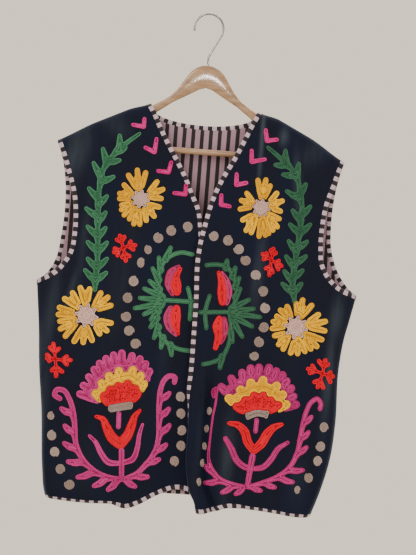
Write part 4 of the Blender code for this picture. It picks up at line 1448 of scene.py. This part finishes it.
garlands = {
    -1: (
        [
            (139.8, 133.4), (123.7, 145.4), (110.4, 158.8), (102.3, 172.2), (99.6, 187.0), (98.3, 200.4),
            (98.3, 213.7), (97.6, 227.0), (97.8, 240.0), (97.6, 254.0), (97.0, 267.3), (95.6, 278.0),
            (95.0, 290.0),
        ],
        [
            (119.7, 135.4), (103.0, 148.8), (93.6, 162.9), (88.9, 188.3), (86.2, 208.4), (87.6, 226.5),
            (87.6, 241.9), (87.6, 258.6), (84.9, 270.0),
        ],
        [
            (125.8, 147.5), (119.7, 160.2), (113.7, 176.9), (107.0, 196.3), (105.7, 212.4), (105.7, 227.8),
            (107.0, 242.5), (107.0, 258.6), (106.3, 272.7),
        ],
    ),
    1: (
        [
            (267.6, 147.2), (281.6, 159.3), (291.8, 169.5), (298.2, 181.0), (300.1, 193.8), (302.0, 206.5),
            (300.8, 219.3), (300.1, 232.0), (297.6, 244.8), (295.7, 257.6), (293.8, 270.3), (292.5, 283.0),
            (294.6, 302.0),
        ],
        [
            (275.3, 165.0), (282.9, 174.6), (286.7, 191.2), (292.5, 210.4), (289.9, 224.4), (288.6, 241.0),
            (286.0, 256.3), (284.2, 271.0), (282.3, 283.7),
        ],
        [
            (285.5, 150.4), (298.9, 163.8), (305.9, 184.2), (310.3, 206.5), (310.3, 224.4), (307.1, 241.6),
            (305.9, 256.3), (302.7, 270.3), (301.4, 283.7),
        ],
    ),
}
leafThread = {-1: "green", 1: "greenDeep"}
for side, (spine, leftTips, rightTips) in garlands.items():
    chevrons(leafThread[side], side, spine, leftTips, rightTips)

upperDaisies = {
    -1: (
        (140.5, 199.0),
        [
            [(127.0, 173.0), (137.0, 167.5), (146.5, 170.2)],
            [(158.6, 179.6), (165.3, 188.3), (163.9, 199.0)],
            [(161.9, 207.7), (155.9, 218.4), (146.5, 223.1)],
            [(139.8, 227.1), (133.1, 226.5), (127.8, 221.1)],
            [(122.4, 217.1), (119.0, 211.0), (119.1, 205.7)],
            [(117.0, 199.0), (117.0, 193.0), (122.4, 183.0)],
        ],
    ),
    1: (
        (261.2, 207.8),
        [
            [(257.4, 177.8), (266.3, 177.2), (271.4, 183.6)],
            [(278.4, 191.2), (284.8, 200.2), (282.9, 212.3)],
            [(281.6, 219.9), (279.0, 228.9), (274.0, 232.7)],
            [(269.5, 235.9), (265.7, 237.8), (258.7, 239.0)],
            [(250.4, 235.2), (244.6, 232.7), (240.2, 221.2)],
            [(237.6, 209.7), (238.9, 199.5), (245.3, 191.2)],
        ],
    ),
}
lowerDaisies = {
    -1: (
        (86.4, 315.5),
        [
            [(79.6, 285.1), (90.2, 286.2)], [(71.4, 290.4), (62.3, 297.3)], [(56.8, 306.6), (55.6, 314.5)],
            [(57.0, 321.6), (58.0, 330.2), (63.5, 338.4)], [(72.7, 343.8), (82.9, 345.2), (93.1, 343.0)],
            [(101.0, 336.3), (109.0, 332.5), (113.9, 323.6)],
            [(102.0, 290.4), (110.0, 295.4), (113.6, 304.7)],
        ],
    ),
    1: (
        (296.0, 327.4),
        [
            [(296.1, 301.0), (303.2, 297.3), (313.6, 303.4)],
            [(320.6, 313.0), (328.1, 320.9), (327.5, 331.5)],
            [(324.3, 340.6), (318.8, 348.4), (312.0, 351.5)],
            [(306.1, 353.9), (297.8, 356.4), (289.8, 355.6)],
            [(282.1, 351.6), (276.6, 346.5), (271.9, 336.3)],
            [(269.6, 329.0), (270.6, 321.0), (274.6, 314.6)], [(278.4, 308.4), (286.4, 303.9)],
        ],
    ),
}
for daisies, lobeWidth, starRadius in ((upperDaisies, 6.3, 9.8), (lowerDaisies, 6.7, 12.6)):
    for side, (centre, petals) in daisies.items():
        daisy(side, centre, petals, lobeWidth, starRadius)

sprigs = [
    (
        -1, (123.2, 247.7),
        [
            [(115.1, 238.9), (119.5, 233.8), (125.4, 235.2)],
            [(131.2, 239.6), (137.1, 244.8), (134.9, 250.6)],
            [(112.9, 247.7), (112.2, 252.9), (117.3, 257.3)],
            [(121.0, 258.7), (126.1, 262.8), (131.2, 257.3)],
        ],
    ),
    (
        -1, (55.3, 359.5),
        [
            [(48.5, 346.1), (53.0, 341.7), (60.6, 347.4)], [(45.9, 353.2), (45.3, 358.3), (48.5, 362.7)],
            [(68.3, 355.1), (72.7, 360.2), (68.3, 365.9)], [(50.4, 371.7), (56.1, 378.0), (63.8, 372.9)],
        ],
    ),
    (
        1, (271.4, 260.2),
        [
            [(261.2, 252.9), (261.9, 260.2), (266.3, 251.4)],
            [(270.0, 248.5), (273.6, 247.0), (277.7, 252.1)],
            [(280.2, 259.5), (283.2, 266.8), (278.8, 271.2)],
            [(264.1, 269.0), (269.2, 277.1), (273.6, 274.1)],
        ],
    ),
    (
        1, (322.7, 373.6),
        [
            [(317.6, 359.5), (325.8, 358.3), (329.7, 363.4)],
            [(311.2, 364.0), (306.1, 368.5), (308.0, 373.6)],
            [(331.6, 371.0), (334.8, 376.8), (331.0, 383.8)],
            [(312.4, 382.5), (316.9, 388.9), (323.9, 389.5)],
        ],
    ),
]
for side, centre, clusters in sprigs:
    sprig(side, centre, clusters)

discs = {
    -1: [
        (187.4, 226.7, 11, 11), (171.6, 230.9, 11, 11), (158.6, 237.9, 11, 11), (148.3, 249.6, 8, 10),
        (140.9, 263.0, 8, 11), (133.9, 281.4, 11, 11), (127.9, 298.1, 11, 11), (126.3, 316.5, 11, 11),
        (129.0, 331.0, 11, 11), (135.4, 344.0, 11, 11), (51.1, 415.9, 8, 9), (52.0, 435.4, 10, 11),
        (54.4, 452.0, 10, 11), (60.1, 469.3, 10, 11), (69.6, 484.4, 11, 11), (180.2, 396.9, 10, 11),
        (180.7, 413.5, 10, 11), (181.8, 430.0, 10, 11), (180.7, 445.7, 10, 11), (174.2, 461.1, 10, 11),
    ],
    1: [
        (214.0, 235.9, 10, 11), (228.3, 240.7, 11, 11), (238.9, 249.0, 11, 11), (245.9, 260.4, 11, 11),
        (255.5, 275.2, 11, 11), (262.9, 291.0, 11, 11), (265.4, 308.2, 11, 11), (263.8, 327.0, 11, 11),
        (259.3, 342.2, 11, 11), (254.4, 355.9, 10, 10), (209.4, 411.3, 5, 9), (206.7, 428.4, 5, 9),
        (204.2, 446.2, 5, 9), (202.3, 463.3, 5, 9), (198.6, 481.7, 5, 9), (323.8, 427.6, 9, 11),
        (320.5, 446.2, 10, 11), (317.5, 461.4, 9, 11), (308.8, 477.7, 9, 11), (297.2, 490.2, 6, 9),
    ],
}
for side, places in discs.items():
    for x, y, wide, high in places:
        disc(side, (x, y), wide, high)

moons = {  # pink outer half, red inner half
    -1: [
        (
            [(179.5, 266.0), (171.5, 273.0), (169.8, 284.0), (173.5, 292.5)], [3.0, 9.0, 10.0, 8.0],
            [(180.6, 268.5), (176.6, 276.0), (176.0, 285.0), (176.8, 291.5)], [3.5, 6.0, 11.0, 8.5],
        ),
        (
            [(171.0, 309.0), (167.8, 318.0), (170.5, 327.0), (176.5, 335.5)], [7.0, 9.0, 9.0, 3.5],
            [(176.5, 308.5), (175.5, 316.5), (175.8, 325.0), (178.2, 334.5)], [7.5, 11.0, 8.5, 3.0],
        ),
    ],
    1: [
        (
            [(221.5, 272.0), (226.0, 281.0), (227.6, 292.0), (225.5, 302.0)], [3.0, 7.0, 9.5, 8.0],
            [(218.8, 272.5), (221.5, 281.0), (222.0, 293.0), (222.6, 302.0)], [4.0, 7.0, 9.5, 7.5],
        ),
        (
            [(223.5, 319.5), (223.8, 328.0), (221.5, 338.0), (217.8, 346.0)], [6.5, 9.5, 8.0, 4.0],
            [(219.5, 318.5), (217.5, 326.0), (218.5, 336.0), (215.4, 348.0)], [6.0, 10.0, 7.5, 5.0],
        ),
    ],
}
moonGap = 0.1
for side, pairs in moons.items():
    for outerLine, outerWidths, innerLine, innerWidths in pairs:
        red = [(innerLine, innerWidths)]
        fill("red", side, red)
        fill("pinkRed", side, [(outerLine, outerWidths)], red, moonGap)

wreaths = {
    -1: dict(
        arms=[
            [
                (163.9, 300.0), (158.6, 287.4), (159.2, 274.0), (163.9, 262.0), (172.0, 255.3),
                (181.3, 252.6), (192.7, 254.6),
            ],
            [
                (163.9, 300.0), (157.5, 311.0), (156.5, 323.5), (161.0, 336.5), (169.0, 344.5),
                (178.5, 349.0), (189.0, 351.0),
            ],
            [(163.9, 300.0), (193.4, 302.0)], [(188.0, 288.0), (190.7, 299.5), (190.0, 319.5)],
        ],
        leaves=[
            [(165.5, 259.5), (170.8, 247.6)], [(160.8, 270.0), (158.9, 257.5)],
            [(158.8, 280.0), (152.5, 268.4)], [(159.5, 289.5), (149.6, 281.0)],
            [(162.5, 297.0), (144.2, 288.6)], [(163.0, 300.5), (139.8, 298.0)],
            [(162.0, 303.5), (134.8, 308.2)], [(160.5, 306.0), (143.9, 314.5)],
            [(158.5, 311.0), (150.6, 319.6)], [(157.0, 318.0), (150.4, 327.4)],
            [(158.5, 327.0), (154.0, 338.0)], [(163.0, 337.5), (161.0, 347.6)],
            [(170.5, 345.0), (171.6, 355.2)],
        ],
    ),
    1: dict(
        arms=[
            [
                (230.6, 312.0), (237.0, 294.5), (235.7, 283.0), (231.9, 272.9), (225.5, 266.5),
                (216.6, 264.6), (206.4, 265.2),
            ],
            [
                (230.6, 312.0), (231.2, 322.0), (230.8, 333.0), (227.6, 347.5), (220.6, 358.5),
                (212.0, 362.4), (203.0, 364.4),
            ],
            [(230.6, 312.0), (200.0, 312.4)], [(209.6, 295.8), (205.2, 312.0), (206.4, 328.3)],
        ],
        leaves=[
            [(226.0, 268.0), (227.2, 260.4)], [(232.5, 277.0), (235.5, 267.6)],
            [(235.0, 287.0), (239.2, 277.8)], [(235.5, 297.0), (240.4, 288.6)],
            [(231.5, 308.5), (249.2, 299.8)], [(231.0, 311.5), (253.8, 308.8)],
            [(231.0, 313.0), (260.2, 317.2)], [(231.5, 315.5), (252.2, 326.6)],
            [(231.5, 318.5), (242.3, 336.8)], [(230.5, 332.0), (232.4, 342.0)],
            [(222.0, 356.5), (219.8, 368.2)],
        ],
    ),
}
wreathWidths = {"arm": 4.4, "leaf": [7.4, 5.6, 4.4]}
for side, wreath in wreaths.items():
    strokes = [(arm, wreathWidths["arm"]) for arm in wreath["arms"]]
    strokes += [(leaf, wreathWidths["leaf"]) for leaf in wreath["leaves"]]
    fill(leafThread[side], side, strokes)

carnations = {
    -1: dict(
        base=[(108.0, 402.5), (130.5, 400.5)],
        pink=[
            (80.0, 394.0), (83.5, 385.5), (88.8, 377.0), (94.2, 369.5), (99.5, 363.5), (106.0, 358.8),
            (113.6, 355.2), (121.8, 353.2), (132.0, 355.8), (140.0, 359.0), (145.6, 364.0), (149.5, 371.3),
            (146.8, 378.8),
        ],
        pinkWidth=7.6,
        yellow=[
            (95.6, 393.6), (101.8, 383.4), (109.0, 376.0), (119.0, 371.2), (132.8, 370.2), (140.6, 375.8),
            (143.6, 384.0),
        ],
        yellowWidth=8.6,
        red=[
            (104.0, 396.2), (110.2, 389.8), (118.3, 386.2), (128.0, 384.0), (135.2, 388.8), (137.6, 393.6),
        ],
        redWidth=8.4,
        calyx=[
            ([(111.5, 408.4), (129.3, 405.6)], 7.4), ([(109.8, 406.6), (110.9, 410.8)], 3.4),
            ([(131.4, 403.6), (130.6, 407.8)], 3.4),
        ],
        stub=([(118.9, 413.5), (118.4, 427.0)], 4.8),
        vee=[
            (
                [(96.0, 416.5), (102.5, 418.8), (106.5, 427.0), (112.0, 437.5), (119.5, 443.8)],
                [3.6, 5.4, 8.5, 10.5, 10.5],
            ),
            (
                [(139.8, 410.5), (135.0, 416.0), (131.8, 425.0), (127.5, 435.5), (120.5, 443.8)],
                [3.8, 6.0, 8.6, 9.5, 10.5],
            ),
        ],
        cup=[
            (
                [(89.0, 435.4), (95.5, 442.0), (101.0, 453.0), (109.0, 462.5), (119.0, 463.4)],
                [3.0, 4.4, 5.6, 6.2, 5.0],
            ),
            (
                [(142.8, 424.0), (139.4, 434.5), (137.4, 447.5), (132.4, 459.4), (124.0, 462.6)],
                [2.8, 4.2, 4.8, 6.0, 5.0],
            ),
        ],
        stem=([(121.6, 450.5), (121.6, 479.0)], [5.6, 5.2]),
        vines=[
            (
                [
                    (60.0, 398.6), (54.6, 394.8), (56.8, 389.8), (63.6, 390.4), (69.4, 399.0),
                    (73.0, 410.5), (74.8, 426.7), (75.8, 443.0), (81.0, 456.5), (90.7, 468.0),
                    (105.9, 476.6), (121.1, 479.0),
                ],
                [
                    (61.4, 408.5), (64.7, 425.7), (64.2, 443.2), (68.0, 461.6), (77.7, 477.2),
                    (94.0, 485.9), (108.0, 489.7),
                ],
            ),
            (
                [
                    (174.4, 382.4), (175.0, 377.4), (169.4, 376.0), (163.4, 381.5), (160.4, 390.5),
                    (159.0, 405.0), (158.9, 421.3), (158.5, 437.6), (154.7, 452.0), (144.9, 465.6),
                    (134.1, 475.4), (124.3, 479.0),
                ],
                [
                    (169.4, 393.1), (168.8, 408.8), (169.4, 425.2), (166.1, 444.7), (159.0, 459.3),
                    (147.6, 476.8), (135.2, 486.5),
                ],
            ),
        ],
        vineWidth=5.2,
    ),
    1: dict(
        base=[(246.0, 411.0), (268.5, 410.5)],
        pink=[
            (221.2, 387.0), (231.4, 378.6), (242.2, 372.8), (250.6, 368.4), (259.0, 367.6), (269.0, 367.8),
            (276.2, 371.4), (282.6, 375.2), (286.6, 381.2), (291.2, 388.4), (293.4, 396.6), (296.0, 404.6),
        ],
        pinkWidth=8.2,
        yellow=[
            (229.0, 398.4), (240.6, 390.0), (250.8, 383.0), (263.0, 380.4), (276.6, 386.0), (282.6, 394.8),
            (286.2, 404.6),
        ],
        yellowWidth=8.8,
        red=[
            (236.6, 406.4), (245.2, 400.2), (254.2, 395.6), (263.0, 395.6), (271.0, 400.6), (278.4, 405.0),
        ],
        redWidth=8.2,
        calyx=[
            ([(248.6, 416.0), (256.4, 413.2), (265.4, 414.2)], 6.4),
            ([(246.8, 413.8), (247.6, 418.6)], 3.0), ([(267.8, 412.0), (266.0, 417.4)], 3.0),
        ],
        stub=([(256.6, 420.0), (255.5, 431.5)], 4.6),
        vee=[
            (
                [(229.0, 423.2), (238.0, 425.0), (244.5, 431.5), (247.5, 441.5), (253.0, 450.2)],
                [4.0, 6.4, 8.6, 8.6, 7.6],
            ),
            (
                [(282.0, 424.4), (274.6, 427.0), (267.6, 433.5), (261.4, 443.5), (254.2, 450.2)],
                [4.0, 6.6, 9.0, 9.2, 7.6],
            ),
        ],
        cup=[
            (
                [(225.4, 438.4), (231.2, 448.2), (237.0, 460.6), (245.2, 467.2), (252.0, 468.6)],
                [4.8, 6.0, 6.6, 6.2, 5.0],
            ),
            (
                [(288.0, 442.4), (278.4, 448.6), (270.8, 459.8), (262.2, 467.6), (254.0, 468.8)],
                [3.8, 5.6, 5.8, 5.8, 5.0],
            ),
        ],
        stem=([(252.6, 456.0), (250.0, 470.1), (247.3, 486.0)], [6.4, 5.8, 5.2]),
        vines=[
            (
                [
                    (213.6, 397.0), (213.4, 390.6), (216.0, 388.4), (216.4, 396.4), (213.0, 415.9),
                    (210.0, 440.0), (208.6, 458.3), (211.4, 469.4), (218.8, 478.9), (230.5, 484.3),
                    (244.1, 487.0),
                ],
                [(205.5, 465.8), (204.9, 482.7), (221.8, 492.5), (235.4, 494.1)],
                [3.4, 3.8, 3.4, 2.4, 2.2, 2.2, 3.0, 5.4, 5.8, 5.8, 4.8],
            ),
            (
                [
                    (320.0, 409.0), (320.8, 403.4), (317.4, 399.0), (311.4, 402.2), (306.4, 411.3),
                    (302.7, 425.0), (300.0, 439.7), (296.6, 454.6), (289.8, 467.0), (277.6, 476.6),
                    (261.2, 483.2), (247.3, 487.0),
                ],
                [
                    (311.4, 416.9), (308.7, 432.0), (306.5, 447.2), (303.0, 470.1), (292.9, 482.2),
                    (275.0, 487.4), (260.9, 490.7),
                ],
            ),
        ],
        vineWidth=4.8,
    ),
}


scallop = {
    "bulgeAt": 0.6,  # share of a lobe's length
    "bulge": 1.22,  # shares of its width
    "arcWidth": 0.95,
    "arcs": (0.55, 0.80),  # where two arcs join the lobes
    "gap": 0.3,  # pixels left free round what lies on top
}


def fan(base, tips, width):  # scalloped lobes from a short base line
    base, tips = np.array(base), np.array(tips)
    strokes = []
    for tip, share in zip(tips, np.linspace(0.0, 1.0, len(tips))):
        foot = base[0] + (base[1] - base[0]) * share
        way = tip - foot
        widths = [width, width * scallop["bulge"], width]
        strokes.append(([foot, foot + way * scallop["bulgeAt"], tip], widths))
    for deep in scallop["arcs"]:
        arc = [base[0] + (base[1] - base[0]) * k / (len(tips) - 1) for k in range(len(tips))]
        line = [a + (tip - a) * deep for a, tip in zip(arc, tips)]
        strokes.append((line, width * scallop["arcWidth"]))
    return strokes


tendril = {
    "widths": (0.9, 1.35, 1.35, 0.9),  # shares of the vine's width
    "end": 0.8,
    "curl": 70,  # samples of its curled start, which carry no leaf
    "foot": 42,
    "join": 22,
    "turn": (0.8, 0.2),
    "middle": (0.5, 0.5),
    "bow": 0.12,
}


def vine(width, path, tips, slim=()):
    dense, _ = smoothStroke(path, 1.0)
    strokes = [(path, slim or [width] * (len(path) - 1) + [width * tendril["end"]])]
    for tip in np.array(tips, float):
        nearest, foot, join = leafRoots(dense, tip, tendril)
        middle = blend(join, tip, tendril["middle"]) + (tip - nearest) * tendril["bow"]
        widths = [width * share for share in tendril["widths"]]
        strokes.append(([foot, blend(join, tip, tendril["turn"]), middle, tip], widths))
    return strokes


for side, flower in carnations.items():
    base, red = flower["base"], fan(flower["base"], flower["red"], flower["redWidth"])
    yellow = fan(base, flower["yellow"], flower["yellowWidth"])
    pink = fan(base, flower["pink"], flower["pinkWidth"])
    calyx = flower["calyx"]
    fill("disc", side, calyx)
    fill("red", side, red, calyx, scallop["gap"])
    fill("yellow", side, yellow, red + calyx, scallop["gap"])
    fill("pink", side, pink, yellow + red + calyx, scallop["gap"])
    fill("pink", side, [flower["stub"]])
    fill("red", side, flower["vee"])
    fill("pink", side, flower["cup"], flower["vee"], scallop["gap"])
    vines = [stroke for branch in flower["vines"] for stroke in vine(flower["vineWidth"], *branch)]
    fill("pink", side, [flower["stem"]] + vines)

threads = {  # darker and lighter tone of each thread
    "pink": ((0.36, 0.018, 0.130), (0.58, 0.045, 0.255)),
    "pinkBright": ((0.50, 0.012, 0.160), (0.68, 0.040, 0.270)),
    "pinkRed": ((0.34, 0.010, 0.060), (0.46, 0.045, 0.170)),
    "yellow": ((0.68, 0.310, 0.0), (1.0, 0.560, 0.0)),
    "green": ((0.028, 0.118, 0.060), (0.060, 0.200, 0.112)),
    "greenDeep": ((0.021, 0.082, 0.045), (0.044, 0.142, 0.082)),
    "red": ((0.54, 0.0, 0.010), (0.80, 0.002, 0.024)),
    "disc": ((0.24, 0.175, 0.160), (0.36, 0.275, 0.255)),
    "star": ((0.50, 0.310, 0.275), (0.70, 0.460, 0.420)),
}
# shadow and grooveShadow darken the thread's colour: painted shade in the dips between links and on the
# underlay between rows
chain = {"length": 0.0034, "depth": 0.0009, "shadow": 0.42, "grooveShadow": 0.60}


def threadLook(name, dark, light):
    look, start = newLook("thread_" + name, {"Specular IOR Level": 0.10})
    flat, u, _ = flatOf(start)
    tone = start.node("Attribute", {"attribute_name": "shade"}, out=2)
    where = placeOf(start)
    blotch = noise(start, where, 38.0, 3.0)
    share = (u / chain["length"]) % 1.0
    bulge = share * (1.0 - share) * 4.0
    strands = noise(start, flat, 1900.0, 1.0, (0.25, 1.0, 1.0))
    mixed = (tone * 0.55 + blotch * 0.6).between(0.15, 0.95)
    between = (1.0 - bulge.maths("POWER", 0.7)) * 0.8
    sewnColour = between.mix(mixed.mix(dark, light), tuple(c * chain["shadow"] for c in dark))
    # painted shade: the underlay between the rows is darkened as if in the shade of the rows beside it
    colour = (tone < -0.5).mix(sewnColour, tuple(c * chain["grooveShadow"] for c in dark))
    height = bulge * chain["depth"] + strands * 0.0003
    feed(look, Base_Color=colour, Roughness=0.62 + strands * 0.2, Normal=height.bump(0.7))
    return look


needlework = []
for name, rows in sewn.items():
    shades = np.concatenate([np.full(rings.shape[0] * rings.shape[1], shade) for rings, _, shade in rows])
    look = threadLook(name, *threads[name])
    extra = pads.get(name, [])
    # a shade of -1 marks the underlay, which gets the painted shade
    shades = np.concatenate([shades, np.full(sum(len(points) for points, _ in extra), -1.0)])
    lofts = [(rings, closed) for rings, closed, _ in rows]
    piece = loftPiece("embroidery_" + name, lofts, look, shades, extra)
    needlework.append(piece)
    print("embroidered", name, len(rows), "rows", len(piece.data.polygons) * 2, "triangles")

# Floor, light and air
studio = {
    "floorZ": -1.76,
    "floorHalf": 2.4,
    "floorTones": ((0.74, 0.70, 0.63), (0.78, 0.74, 0.67)),
    "air": (0.95, 0.85, 0.68),
    "airStrength": 1.25,
    "lampsAim": (0.02, -0.02, -0.5),
}


def addStudio():
    bpy.ops.object.select_all(action="DESELECT")
    bpy.ops.mesh.primitive_circle_add(
        vertices=96, radius=studio["floorHalf"], fill_type="NGON", location=(0.0, 0.0, studio["floorZ"])
    )
    floor = bpy.context.active_object
    floor.name = "floor"
    look, start = newLook("paleFloor", {"Roughness": 0.8})
    mottled = noise(start, placeOf(start), 3.0, 3.0)
    feed(look, Base_Color=mottled.mix(*studio["floorTones"]))
    floor.data.materials.append(look)
    world = bpy.data.worlds.new("air")
    world.use_nodes = True
    air = world.node_tree.nodes["Background"].inputs
    air["Color"].default_value = (*studio["air"], 1.0)
    air["Strength"].default_value = studio["airStrength"]
    bpy.context.scene.world = world


lamps = {  # place, size, watts, colour
    "key": ((-1.3, -1.9, 0.9), 1.3, 36.0, (1.0, 0.97, 0.92)),
    "glint": ((0.004, -1.7, 0.093), 0.08, 1.6, (1.0, 0.99, 0.97)),
    "fill": ((1.7, -1.5, 0.1), 1.5, 14.0, (0.95, 0.97, 1.0)),
    "top": ((0.2, 0.5, 1.2), 1.2, 20.0, (1.0, 0.98, 0.95)),
    "back": ((-0.6, 1.9, 0.2), 1.4, 18.0, (1.0, 0.98, 0.95)),
}


def addLamps():
    for name, (place, size, watts, colour) in lamps.items():
        data = bpy.data.lights.new(name, "AREA")
        data.size, data.energy, data.color = size, watts, colour
        lamp = bpy.data.objects.new(name, data)
        lamp.location = place
        way = Vector(studio["lampsAim"]) - Vector(place)
        lamp.rotation_euler = way.to_track_quat("-Z", "Y").to_euler()
        bpy.context.scene.collection.objects.link(lamp)


addStudio()
addLamps()

print("scene ready")
